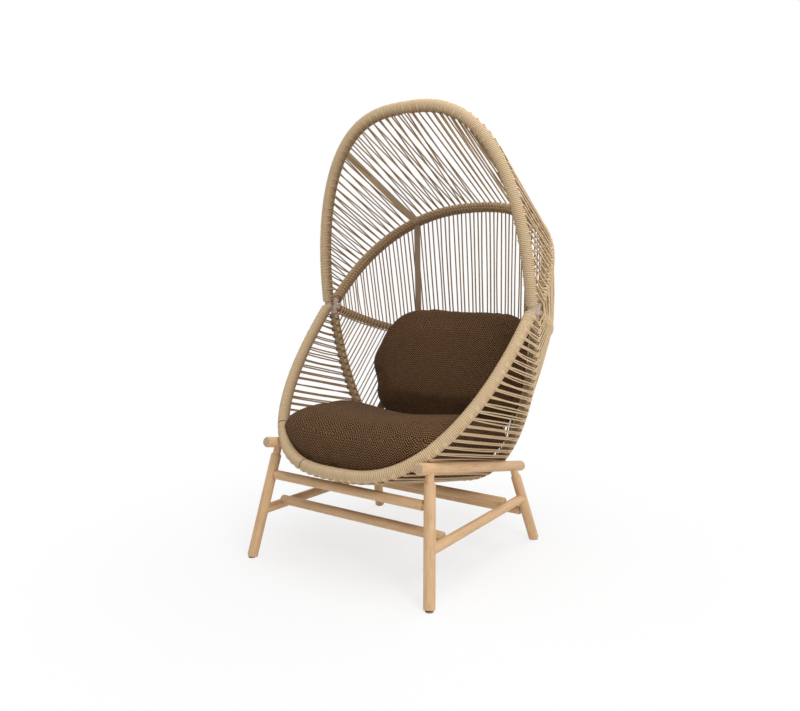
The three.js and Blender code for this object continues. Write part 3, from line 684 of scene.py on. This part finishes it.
# Each finish's maker, and what it takes besides the name
FINISHES = {
    "cane": (cane_material,),
    "coated_tube": (coated_material, (0.50, 0.38, 0.30), (0.58, 0.45, 0.36)),
    # A darker copy of the coating for the back and lumbar struts and the seat runners: painted
    # shade
    "shaded_coated_strut": (coated_material, (0.27, 0.185, 0.110), (0.33, 0.23, 0.140)),
    "coated_bar": (coated_material, (0.46, 0.33, 0.20), (0.54, 0.40, 0.25)),
    "teak": (wood_material, False),
    "teak_end": (wood_material, True),
    "fixing_steel": (steel_material,),
    "glide_plastic": (glide_material,),
    "cushion_fabric": (fabric_material,),
    "floor": (floor_material,),
}


def finish_named(name):
    """The material of that name, made on first use."""
    maker, *choices = FINISHES[name]
    return bpy.data.materials.get(f"pod_{name}") or maker(name, *choices)


# Cane

def wind(rib, outer, pitch, depth=0.0024, sides=20, rows=8, joins=()):
    """Cane wound round a tube: each turn is a flattened strand with a groove beside it, painted
    dark as shade. A join is a share of the tube where one length of cane ends and the next starts,
    seen as a dark turn."""
    turns = int(rib.turns(pitch))
    shares = np.linspace(0, 1, turns * rows + 1)
    angles = spaced_angles(sides)
    wound = np.arange(len(shares))[:, None] / rows + angles[None, :] / (2 * np.pi)
    crest = np.sqrt(1 - (2 * (wound % 1.0) - 1) ** 4)
    uneven = np.sin(np.floor(wound) * HASH_STEP) * HASH_SCALE
    uneven = (uneven - np.floor(uneven) - 0.5) * TURN_UNEVEN
    radius = outer - depth * (1 - crest) + uneven
    # Painted shade in the grooves between turns; the joins add the cane's own dark turns
    groove_shade_and_join = 1.5 * (1 - crest) ** 0.7
    for join in joins:
        groove_shade_and_join += np.abs(wound - join * turns) < JOIN_WIDTH
    grid = ring_grid(rib.at(shares), radius[..., None], angles, *rib.cross_axes(shares))
    return grid, np.clip(groove_shade_and_join, 0, 1)


def round_the_tube(rib, share, towards, radius, side, turned_back):
    """Where a strand comes round a tube and leaves it for a far point: side 1 leaves on the
    outside of the shell, -1 on the inside. The angles in turned_back are degrees before that."""
    centre = rib.at(share)
    inward, along_skin = rib.cross_axes(share)
    away = towards - centre
    ahead = np.dot(away, along_skin) * along_skin + np.dot(away, inward) * inward
    ahead /= np.linalg.norm(ahead)
    normal = -side * inward
    normal = normal - ahead * np.dot(normal, ahead)
    normal /= np.linalg.norm(normal)
    angle = np.radians(turned_back)[:, None]
    return centre + np.reshape(radius, (-1, 1)) * (np.cos(angle) * normal - np.sin(angle) * ahead)


def skin_side(rib, share, towards):
    """+1 or -1: which way along the skin from this tube the other tube lies."""
    _, along_skin = rib.cross_axes(share)
    return np.sign(np.sum((towards - rib.at(share)) * along_skin, axis=-1))


def tilted_turn(pool, rib, share, tube, strand, arc, tilt, low_side, lift, fan=0.0, groove_shade_and_join=0.0):
    """One turn of cane laid slantwise round a tube, or part of one, standing off at its low side.
    A fanned turn meets its neighbours at that side and lies away from them at the other."""
    steps = max(8, int((arc[1] - arc[0]) / TURN_STEP))
    angle = np.radians(np.linspace(*arc, steps)) * low_side
    from_low = angle * low_side - np.pi / 2
    slope = (tube + strand) * math.tan(math.radians(tilt))
    shares = share + slope * np.sin(from_low) / rib.length
    shares = shares + fan * (1 - np.cos(from_low)) / 2 / rib.length
    inward, along_skin = rib.cross_axes(shares)
    reach = tube + strand * (1.0 + lift * np.clip(np.cos(from_low), 0, 1) ** 2)
    path = rib.at(shares) + reach[:, None] * (np.cos(angle)[:, None] * inward
                                              + np.sin(angle)[:, None] * along_skin)
    pool.add_path(path, strand, TURN_FACETS, groove_shade_and_join)


def panel(pool, upper, lower, upper_shares, lower_shares, upper_radius, lower_radius, strand,
          seed, sides=(1, 1), wraps=(SHORT_WRAP, SHORT_WRAP)):
    """Strands from one tube to the next, each a little uneven. The sides and wraps are those of
    a pair's first and second strand at the upper tube; below, all go over the outside."""
    chance = np.random.default_rng(seed)
    run = np.array([0.25, 0.5, 0.75])[:, None]
    for index, (high, low) in enumerate(zip(upper_shares, lower_shares)):
        top, bottom = upper.at(high), lower.at(low)
        if np.linalg.norm(bottom - top) < NEAREST_TUBES * (upper_radius + lower_radius):
            continue
        wrap = wraps[index % 2]
        sunk = upper_radius + strand * np.linspace(-1.2, 0.6, len(wrap))
        start = round_the_tube(upper, high, bottom, sunk, sides[index % 2], wrap)
        end = round_the_tube(lower, low, top, [lower_radius + strand] * 2, 1, SHORT_WRAP)
        middle = (1 - run) * start[-1] + run * end[1]
        middle += np.sin(np.pi * run) * chance.normal(0, STRAND_SWAY, 3)
        middle[:, 2] -= np.sin(np.pi * run[:, 0]) * abs(chance.normal(0, STRAND_SAG))
        pool.add_path(np.concatenate([start, middle, end[::-1]]),
                      strand * chance.uniform(*STRAND_THICKNESS), STRAND_FACETS)


def paired(rib, cane, lean):
    """The strands' shares of a front tube, two close together for each pair, and the share of the
    next tube that each ends at. The lean moves a pair's second strand up the hood, more near the
    poles."""
    count = int(round(rib.length / cane.pair_pitch))
    middle = spread_shares(count)
    near = 0.9 * cane.strand_radius / rib.length
    low = np.clip(1 - 4 * np.minimum(middle, 1 - middle), 0, 1)
    risen = lean * (1 + 1.2 * low) * np.sign(0.5 - middle) / rib.length
    knots = np.stack([middle - near, middle + near + risen], axis=1).ravel()
    to_apex = np.sign(0.5 - middle) / count
    ends = np.stack([middle + 0.25 * to_apex, middle - 0.75 * to_apex], axis=1)
    return knots, np.clip(ends, 0.003, 0.997).ravel()


# Operators

class PODCHAIR_OT_loop_winding(bpy.types.Operator):
    """Wind the cane on the front loop: the hood arch and the seat rim"""
    bl_idname = "podchair.loop_winding"
    bl_label = "Loop winding"

    def execute(self, context):
        cane = settings("pod_cane")
        ribs = trimmed_ribs()
        for name, node_name, joins in (("hood", "hood_cane", ()), ("rim", "seat_cane", RIM_JOINS)):
            pool = MeshPool()
            pool.add_grid(*wind(ribs[name], cane.wrap_radius, cane.ring_pitch, joins=joins))
            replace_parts(pool.cane_piece(f"{name}_winding", *WINDING_FACING), node_name)
        return {"FINISHED"}


class PODCHAIR_OT_strands(bpy.types.Operator):
    """Stretch the strands between the tubes"""
    bl_idname = "podchair.strands"
    bl_label = "Strands"

    def execute(self, context):
        shell, cane = settings("pod_shell"), settings("pod_cane")
        strand, wrap, tube = cane.strand_radius, cane.wrap_radius, shell.fan_tube
        ribs = trimmed_ribs()
        hood, crown, rim = ribs["hood"], ribs["crown"], ribs["rim"]

        knots, ends = paired(hood, cane, cane.lean)
        pool = MeshPool()
        panel(pool, hood, crown, knots, ends, wrap, tube, strand, 11, (-1, 1),
              (INSIDE_WRAP, OUTSIDE_WRAP))
        # The teeth on the hood's inside edge: a turn over the winding, and beside it a turn
        # painted dark as the shade of a gap
        for share in spread_shares(len(knots)):
            low_side = skin_side(hood, share, crown.at(share))
            tilt = TOOTH_TILT * np.sign(0.5 - share)
            for offset, arc, lift, groove_shade_and_join in (
                    (0.0, (0, 120), 0.6, 0.0), (0.0065, (8, 120), 0.3, 1.0)):
                tilted_turn(pool, hood, share + offset / hood.length, wrap - 0.45 * strand,
                            0.85 * strand, arc, tilt, low_side, lift, groove_shade_and_join=groove_shade_and_join)
        pool.cane_piece("hood_strands", *STRAND_FACING)

        even = spread_shares(int(round(crown.length / cane.even_pitch)))
        for name, upper, lower, seed in (("back_strands", "crown", "back", 12),
                                         ("lumbar_strands", "back", "keel", 13)):
            pool = MeshPool()
            panel(pool, ribs[upper], ribs[lower], even, even, tube, tube, strand, seed)
            pool.cane_piece(name, *STRAND_FACING)

        # A pair of the seat's strands meets on the rim and parts towards the keel
        count = len(paired(rim, cane, 0.0)[0]) // 2
        meet = np.repeat(spread_shares(count), 2)
        parted = np.where(np.arange(2 * count) % 2, 1.0, -1.0)
        pool = MeshPool()
        panel(pool, rim, ribs["keel"], meet + parted * strand / rim.length,
              meet + parted * 0.13 / count, wrap, tube, strand, 14, (1, 1),
              (INSIDE_WRAP, INSIDE_WRAP))
        pool.cane_piece("seat_strands", *STRAND_FACING)
        return {"FINISHED"}


class PODCHAIR_OT_lashings(bpy.types.Operator):
    """Lash the rear ribs: slanting turns on the crown, hooks on the back, fans on the keel"""
    bl_idname = "podchair.lashings"
    bl_label = "Rib lashings"

    def execute(self, context):
        shell, cane = settings("pod_shell"), settings("pod_cane")
        ribs = trimmed_ribs()
        tube = shell.fan_tube + cane.underlay
        turn = (-40, 320)
        pairs = int(round(ribs["rim"].length / cane.pair_pitch))
        fanned = np.linspace(-0.5, 0.5, 6)[:-1] * ribs["keel"].length / pairs

        def lashing_count(name):
            return int(round(ribs[name].turns(LASHING_PITCH[name])))

        # Each rib's replaced node, neighbour and number of lashings, and the turns of one lashing:
        # offset along the rib,
        #         arc and tilt in degrees, lift, fan, and 1 where the turn is painted dark as the
        #         shade of a gap
        styles = {
            "crown": ("back_cane", "back", lashing_count("crown"),
                      [(-0.0024, turn, 38, 0.9, 0.0, 0.0), (0.0024, turn, 38, 1.5, 0.0, 0.0),
                       (0.0068, (60, 120), 38, 0.9, 0.0, 1.0)]),
            "back": ("lumbar_cane", "keel", lashing_count("back"),
                     [(0.0, (-25, 200), 22, 1.6, 0.0, 0.0)]),
            "keel": ("keel_binding", "rim", pairs,
                     [(0.15 * step, (108, 395), 0, 0.5, step, 0.0) for step in fanned]
                     + [(0.0, (62, 112), 0, 0.3, 0.0, 1.0)]),
        }
        for name, (node_name, neighbour, count, lanes) in styles.items():
            rib = ribs[name]
            pool = MeshPool()
            grid, groove_shade_and_join = wind(rib, tube, cane.rib_pitch, depth=0.0018, sides=14, rows=6)
            # The winding under the lashings is darkened all over, as painted shade
            pool.add_grid(grid, np.clip(groove_shade_and_join + 0.35, 0, 1))
            for share in spread_shares(count):
                low_side = skin_side(rib, share, ribs[neighbour].at(share))
                for offset, arc, tilt, lift, fan, groove_shade_and_join in lanes:
                    tilted_turn(pool, rib, share + offset / rib.length, tube, cane.strand_radius,
                                arc, tilt, low_side, lift, fan, groove_shade_and_join)
            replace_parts(pool.cane_piece(f"{name}_lashing", *LASHING_FACING), node_name)
        return {"FINISHED"}


class PODCHAIR_OT_tubes(bpy.types.Operator):
    """Finish the coated tubes, hubs, struts and runners"""
    bl_idname = "podchair.tubes"
    bl_label = "Tubes and struts"

    def execute(self, context):
        shell = settings("pod_shell")
        shares = np.linspace(0, 1, TUBE_RINGS)
        for name, rib in trimmed_ribs().items():
            form = RIB_FORMS[name]
            radius = shell.fan_tube if form.rear else shell.loop_tube
            pool = MeshPool()
            pool.add_grid(ring_grid(rib.at(shares), radius, spaced_angles(TUBE_FACETS),
                                    *rib.cross_axes(shares)))
            piece = pool.piece(f"{name}_tube", "coated_tube")
            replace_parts(piece, form.node)
        for side, _ in SIDES:
            # The back and lumbar struts and the seat runners take the darker coating, painted
            # shade
            for part, finish in (("pole_hub", "coated_tube"), ("hood_strut", "coated_bar"),
                                 ("back_strut", "shaded_coated_strut"), ("lumbar_strut", "shaded_coated_strut"),
                                 ("seat_runner", "shaded_coated_strut")):
                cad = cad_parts[f"{part}_{side}"]
                cad.material_slots[0].material = finish_named(finish)
                bevel = cad.modifiers.new("Rounded edges", "BEVEL")
                bevel.width = METAL_ROUNDING
                bevel.segments = 3
                bevel.limit_method = "ANGLE"
            for fixing in ("bolt", "cross_nut"):
                for place in ("front", "middle", "rear"):
                    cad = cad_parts[f"{fixing}_{place}_{side}"]
                    cad.material_slots[0].material = finish_named("fixing_steel")
        return {"FINISHED"}


def base_lines(side):
    """On one side: the rail's two ends, and each leg's foot and where its line meets the rail."""
    rail_front, rail_rear, front_foot, rear_foot = (
        Vector((side * x, y, z)) for x, y, z in (RAIL_FRONT, RAIL_REAR, FRONT_FOOT, REAR_FOOT))
    span = (rail_rear - rail_front).length
    return {"rail": (rail_front, rail_rear),
            "front": (front_foot, rail_front.lerp(rail_rear, FRONT_LEG_SETBACK / span)),
            "rear": (rear_foot, rail_rear.lerp(rail_front, REAR_LEG_SETBACK / span))}


def at_height(leg, z):
    foot, top = leg
    return foot.lerp(top, (z - foot.z) / (top.z - foot.z))


def wooden(name, node_name, start, end, profile, seed):
    """A turned rod of teak in the node's place, which keeps for its grain where each of its points
    lies along and across it."""
    piece = turned(name, start, end, profile, "teak")
    piece.data.materials.append(finish_named("teak_end"))
    for face in (piece.data.polygons[-1], piece.data.polygons[-2]):
        face.material_index = 1
    turn = np.array((end - start).normalized().to_track_quat("Z", "Y").to_matrix())
    offset = np.random.default_rng(seed).uniform(-5, 5, 3)
    store(piece, "along", (points_of(piece) - np.array(start)) @ turn + offset)
    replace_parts(piece, node_name)


def mirrored_profile(span, half):
    """A rod's outline, alike at both ends: half holds (distance from an end, radius) pairs."""
    return half + [(span * 0.5, half[-1][1])] + [
        (span - distance, radius) for distance, radius in reversed(half)]


def plain_profile(span, radius, chamfer):
    """A rod's outline with rounded ends."""
    return mirrored_profile(span, [(0.0, radius - chamfer),
                                   (chamfer * 0.3, radius - chamfer * 0.35), (chamfer, radius)])


def leg_profile(shoulder, tip, wood):
    """A leg's outline: a softened foot, a rounded shoulder and the thinner neck up to the tip."""
    leg, neck = wood.leg_radius, wood.neck_radius
    return [(GLIDE_GAP, leg - 0.002), (GLIDE_GAP + 0.002, leg), (shoulder * 0.5, leg),
            (shoulder - 0.003, leg), (shoulder - 0.0008, leg - 0.0012), (shoulder, leg - 0.003),
            (shoulder + 0.0005, neck + 0.0003), (shoulder + 0.002, neck), (tip, neck)]


def tenoned_profile(span, wood):
    """An end rod's outline: its tenons go into the legs, and its shoulders stop short of them."""
    gap = wood.leg_radius + SHOULDER_GAP
    return mirrored_profile(span, [
        (TENON_INSET, wood.tenon_radius), (gap, wood.tenon_radius),
        (gap + 0.0002, wood.rod_radius - 0.0012), (gap + 0.0014, wood.rod_radius)])


class PODCHAIR_OT_base(bpy.types.Operator):
    """Turn the wooden rods of the base: rails, legs, side rods and cross rods"""
    bl_idname = "podchair.base"
    bl_label = "Wooden base"

    def execute(self, context):
        wood = settings("pod_wood")
        lines = {side: base_lines(side) for _, side in SIDES}
        seed = 100
        for name, side in SIDES:
            front, rear = lines[side]["rail"]
            wooden(f"teak_rail_{name}", f"rail_{name}", front, rear,
                   plain_profile((rear - front).length, wood.rail_radius, RAIL_CHAMFER), seed)
            for end in ("front", "rear"):
                foot, top = lines[side][end]
                neck = wood.rail_radius + wood.neck_length
                shoulder = (top + (foot - top).normalized() * neck - foot).length
                wooden(f"teak_leg_{end}_{name}", f"leg_{end}_{name}", foot, top,
                       leg_profile(shoulder, (top - foot).length, wood), seed + 1)
                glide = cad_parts[f"glide_{end}_{name}"]
                glide.material_slots[0].material = finish_named("glide_plastic")
                seed += 1
            start, stop = (at_height(lines[side][end], SIDE_ROD_HEIGHT)
                           for end in ("front", "rear"))
            inset = [(SIDE_ROD_INSET, wood.rod_radius)]
            wooden(f"teak_side_rod_{name}", f"side_rod_{name}", start, stop,
                   mirrored_profile((stop - start).length, inset), seed + 2)
            seed += 5
        for end, height in END_ROD_HEIGHTS.items():
            start, stop = (at_height(lines[side][end], height) for side in (-1, 1))
            wooden(f"teak_{end}_rod", f"{end}_rod", start, stop,
                   tenoned_profile((stop - start).length, wood), seed)
            seed += 1
        for end, depth in CROSS_ROD_DEPTHS.items():
            ends = []
            for side in (-1, 1):
                front, rear = (at_height(lines[side][leg], SIDE_ROD_HEIGHT)
                               for leg in ("front", "rear"))
                point = front.lerp(rear, (depth - front.y) / (rear.y - front.y))
                ends.append(point + Vector((-side * CROSS_ROD_SETBACK, 0, CROSS_ROD_RISE)))
            wooden(f"teak_{end}_cross_rod", f"{end}_cross_rod", *ends,
                   plain_profile((ends[1] - ends[0]).length, wood.rod_radius, ROD_CHAMFER), seed)
            seed += 1
        return {"FINISHED"}


# Cushions

def cloth_pattern(piece):
    """Stores the weave's flat pattern on each face corner, by the panel that the face is on."""
    mesh = piece.data
    values = np.zeros((len(mesh.loops), 3))
    for polygon in mesh.polygons:
        facing = polygon.normal
        for loop in polygon.loop_indices:
            point = mesh.vertices[mesh.loops[loop].vertex_index].co
            if abs(facing.x) > SIDE_PANEL:
                values[loop, :2] = point.y, point.z
            elif abs(facing.z) > abs(facing.y):
                values[loop, :2] = point.x, point.y
            else:
                values[loop, :2] = point.x, point.z
    store(piece, "cloth", values, "CORNER")


def bake_modifiers(piece):
    """Replaces the piece's mesh by what its modifiers make of it."""
    graph = bpy.context.evaluated_depsgraph_get()
    made = bpy.data.meshes.new_from_object(piece.evaluated_get(graph))
    piece.modifiers.clear()
    piece.data = made
    made.polygons.foreach_set("use_smooth", [True] * len(made.polygons))


def stuffed(node_name, body, fill_out, settle):
    """A cushion: the node's form, drawn in a little, remeshed, blown up as cloth, filled out,
    settled on the strands and smoothed."""
    pad = settings("pod_cushion")
    name = f"{body}_cover"
    mesh = bpy.data.meshes.new(name)
    pattern = bmesh.new()
    pattern.from_mesh(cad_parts[node_name].data)
    bmesh.ops.remove_doubles(pattern, verts=pattern.verts, dist=0.0001)
    bmesh.ops.recalc_face_normals(pattern, faces=pattern.faces)
    pattern.normal_update()
    for vertex, normal in [(vertex, vertex.normal.copy()) for vertex in pattern.verts]:
        vertex.co -= normal * PATTERN_SHRINK
    pattern.to_mesh(mesh)
    pattern.free()
    piece = bpy.data.objects.new(name, mesh)
    bpy.context.scene.collection.objects.link(piece)
    piece.modifiers.new("Rounding", "SUBSURF").levels = 2
    remesh = piece.modifiers.new("Even mesh", "REMESH")
    remesh.mode = "VOXEL"
    remesh.voxel_size = pad.voxel
    remesh.use_smooth_shade = True
    bake_modifiers(piece)
    swell(piece, pad)
    move_points(piece, np.stack(fill_out(*points_of(piece).T), axis=1))
    press_inside(piece, settle)
    relax = piece.modifiers.new("Relax", "SMOOTH")
    relax.factor = 0.5
    relax.iterations = 8
    bake_modifiers(piece)
    piece.data.materials.clear()
    piece.data.materials.append(finish_named("cushion_fabric"))
    cloth_pattern(piece)
    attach(piece, body)
    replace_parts(piece, node_name)


def swell(piece, pad):
    """Blows the cover up as cloth, with a cap on how far each point moves."""
    scene = bpy.context.scene
    rest = points_of(piece)
    cloth = piece.modifiers.new("Cover", "CLOTH")
    for option, value in (("quality", 5), ("mass", 0.4), ("tension_stiffness", 18),
                          ("compression_stiffness", 18), ("bending_stiffness", 1.2),
                          ("use_pressure", True), ("uniform_pressure_force", pad.pressure)):
        setattr(cloth.settings, option, value)
    cloth.settings.effector_weights.gravity = 0
    cloth.collision_settings.use_collision = False
    cloth.point_cache.frame_start = 1
    cloth.point_cache.frame_end = SWELL_FRAMES
    for number in range(1, SWELL_FRAMES + 1):
        scene.frame_set(number)
    bake_modifiers(piece)
    scene.frame_set(1)
    shift = points_of(piece) - rest
    reach = np.linalg.norm(shift, axis=1, keepdims=True)
    move_points(piece, rest + shift * np.minimum(1.0, pad.swell_cap / np.maximum(reach, 1e-9)))


def spread_seat(x, y, z):
    """Where the seat cushion's points go as it spreads onto the strands and the rim, and sinks
    towards the back cushion. Each mask goes from 0 to 1 over a part of the cushion."""
    side = np.clip(np.abs(x) / 0.34, 0, 1) ** 2
    front = np.clip((0.02 - y) / 0.25, 0, 1)
    upper = np.clip((z - 0.36) / 0.08, 0, 1)
    rear = np.clip((y + 0.30) / 0.28, 0, 1)
    corner = np.clip((y + 0.06) / 0.10, 0, 1) * side * np.clip((0.47 - z) / 0.06, 0, 1)
    sink = 0.026 * upper * rear * (1 - 0.5 * side)
    return (x * (1 + 0.165 * side + 0.16 * corner),
            y - 0.012 * front * (1 - upper) - 0.025 * front * side + 0.040 * corner,
            z - sink - 0.014 * front * (1 - upper))


def square_back(x, y, z):
    """Where the back cushion's points go as its corners fill out and its top leans over towards
    +X. Each mask goes from 0 to 1 over a part of the cushion."""
    rise = np.clip((z - 0.60) / 0.23, 0, 1) ** 2
    side = np.clip(np.abs(x) / 0.35, 0, 1)
    right = x > 0
    low = np.clip((0.47 - z) / 0.08, 0, 1)
    waist = np.where(right, 0.0, 0.014 * side ** 2) * np.exp(-((z - 0.70) / 0.06) ** 2)
    return (x * (1 + 0.05 * side ** 2 + 0.10 * low * side) + waist
            + rise * np.where(right, 0.040, 0.042 * side + 0.01), y,
            z + rise * (0.024 + np.where(right, 0.055 * side ** 3, 0.058 * side ** 2))
            - low * (0.030 + 0.020 * side ** 2))


def shell_samples(ribs):
    """Points over the shell's skin between the tubes, with the way inwards at each."""
    shares, runs = np.linspace(0.01, 0.99, 90), np.linspace(0, 1, 14)[:, None]
    points, inwards = [], []
    for upper, lower in (("hood", "crown"), ("crown", "back"), ("back", "keel"), ("keel", "rim")):
        top, bottom = ribs[upper].at(shares), ribs[lower].at(shares)
        patch = top[:, None] * (1 - runs) + bottom[:, None] * runs
        normal = unit(np.cross(np.gradient(patch, axis=0), np.gradient(patch, axis=1)))
        normal *= np.sign(np.sum((hollow_middle() - patch) * normal, axis=-1, keepdims=True))
        points.append(patch.reshape(-1, 3))
        inwards.append(normal.reshape(-1, 3))
    return np.concatenate(points), np.concatenate(inwards)


def lookup_of(points):
    lookup = KDTree(len(points))
    for index, point in enumerate(points):
        lookup.insert(point, index)
    lookup.balance()
    return lookup


def press_inside(piece, settle):
    """Settles the cushion on the strands where it is nearer than settle, and presses it back
    wherever it would stand through the strands or the tubes."""
    shell, cane = settings("pod_shell"), settings("pod_cane")
    ribs = trimmed_ribs()
    skin, inwards = shell_samples(ribs)
    lookup = lookup_of(skin)
    band = shell.fan_tube + cane.underlay + 2 * cane.strand_radius
    tubes = [(lookup_of(ribs[name].line), radius + TUBE_ROOM) for name, radius in (
        ("rim", cane.wrap_radius), ("keel", band), ("back", band), ("crown", band),
        ("hood", cane.wrap_radius))]
    for vertex in piece.data.vertices:
        _, index, _ = lookup.find(vertex.co)
        inward = Vector(inwards[index])
        depth = (vertex.co - Vector(skin[index])).dot(inward)
        if depth < STRAND_DIP:
            vertex.co += inward * (STRAND_DIP - depth)
        elif depth < settle:
            facing = min(1.0, max(0.0, -2 * vertex.normal.dot(inward)))
            vertex.co -= inward * (depth - STRAND_DIP) * (1 - depth / settle) * facing
        for line, radius in tubes:
            near, _, distance = line.find(vertex.co)
            if distance < radius:
                vertex.co = near + (vertex.co - near).normalized() * radius
    piece.data.update()


class PODCHAIR_OT_cushions(bpy.types.Operator):
    """Sew and stuff the seat cushion and the back cushion"""
    bl_idname = "podchair.cushions"
    bl_label = "Cushions"

    def execute(self, context):
        pad = settings("pod_cushion")
        stuffed("seat_cushion", "seat_pad", spread_seat, SEAT_SETTLE)
        stuffed("back_cushion", "back_pad", square_back, BACK_SETTLE)
        return {"FINISHED"}


# Stage

def aimed(name, data, place, target):
    """A lamp or camera that looks at a point."""
    piece = bpy.data.objects.new(name, data)
    piece.location = place
    piece.rotation_euler = (Vector(target) - Vector(place)).to_track_quat("-Z", "Y").to_euler()
    bpy.context.scene.collection.objects.link(piece)
    return piece


class PODCHAIR_OT_stage(bpy.types.Operator):
    """Set up the floor, the lamps, the world and the camera"""
    bl_idname = "podchair.stage"
    bl_label = "Stage"

    def execute(self, context):
        stage = settings("pod_stage")
        scene = context.scene
        mesh = bpy.data.meshes.new("floor")
        corners = ((-1, -1), (1, -1), (1, 1), (-1, 1))
        mesh.from_pydata([(x * FLOOR_REACH, y * FLOOR_REACH, 0) for x, y in corners], [],
                         [(0, 1, 2, 3)])
        mesh.materials.append(finish_named("floor"))
        floor = bpy.data.objects.new("floor", mesh)
        scene.collection.objects.link(floor)

        world = scene.world or bpy.data.worlds.new("studio")
        scene.world = world
        world.use_nodes = True
        tree = world.node_tree
        tree.nodes.clear()
        background = node(tree, "ShaderNodeBackground", {
            0: (1, 1, 1, 1), 1: remap(tree, seen_directly(tree), (WORLD_LIGHT, 1.0))})
        node(tree, "ShaderNodeOutputWorld", {0: background.outputs[0]})

        for name, (place, size, share) in LAMPS.items():
            lamp = bpy.data.lights.new(name, "AREA")
            lamp.shape = "DISK"
            lamp.size = size
            lamp.energy = stage.lamp_power * share
            aimed(name, lamp, place, LAMP_AIM)

        lens = bpy.data.cameras.new("camera")
        lens.lens = stage.focal_length
        lens.sensor_width = 36.0
        lens.sensor_fit = "HORIZONTAL"
        scene.camera = aimed("camera", lens, stage.camera_place, stage.camera_aim)
        scene.view_settings.view_transform = "Standard"
        return {"FINISHED"}


# Sidebar and start

class PODCHAIR_PT_panel(bpy.types.Panel):
    """Lists the chair's operators and sizes"""
    bl_idname = "PODCHAIR_PT_panel"
    bl_label = "Pod Chair"
    bl_space_type = "VIEW_3D"
    bl_region_type = "UI"
    bl_category = "Pod Chair"

    def draw(self, context):
        for operator in OPERATORS:
            self.layout.operator(operator.bl_idname)
        for name, group in GROUPS.items():
            box = self.layout.box()
            values = getattr(context.scene, name)
            for field in group.__annotations__:
                box.prop(values, field)


GROUPS = {"pod_shell": ShellSizes, "pod_cane": CaneSizes, "pod_wood": WoodSizes,
          "pod_cushion": CushionSizes, "pod_stage": StageSizes}
OPERATORS = (PODCHAIR_OT_tubes, PODCHAIR_OT_loop_winding, PODCHAIR_OT_strands,
             PODCHAIR_OT_lashings, PODCHAIR_OT_base, PODCHAIR_OT_cushions, PODCHAIR_OT_stage)


def register():
    for kind in (*GROUPS.values(), *OPERATORS, PODCHAIR_PT_panel):
        bpy.utils.register_class(kind)
    for name, group in GROUPS.items():
        setattr(bpy.types.Scene, name, PointerProperty(type=group))


def unregister():
    for name in GROUPS:
        delattr(bpy.types.Scene, name)
    for kind in reversed((*GROUPS.values(), *OPERATORS, PODCHAIR_PT_panel)):
        bpy.utils.unregister_class(kind)


def main():
    """Makes the whole chair."""
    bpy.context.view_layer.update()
    register()
    for operator in OPERATORS:
        group, name = operator.bl_idname.split(".")
        getattr(getattr(bpy.ops, group), name)()


if __name__ == "__main__":
    main()
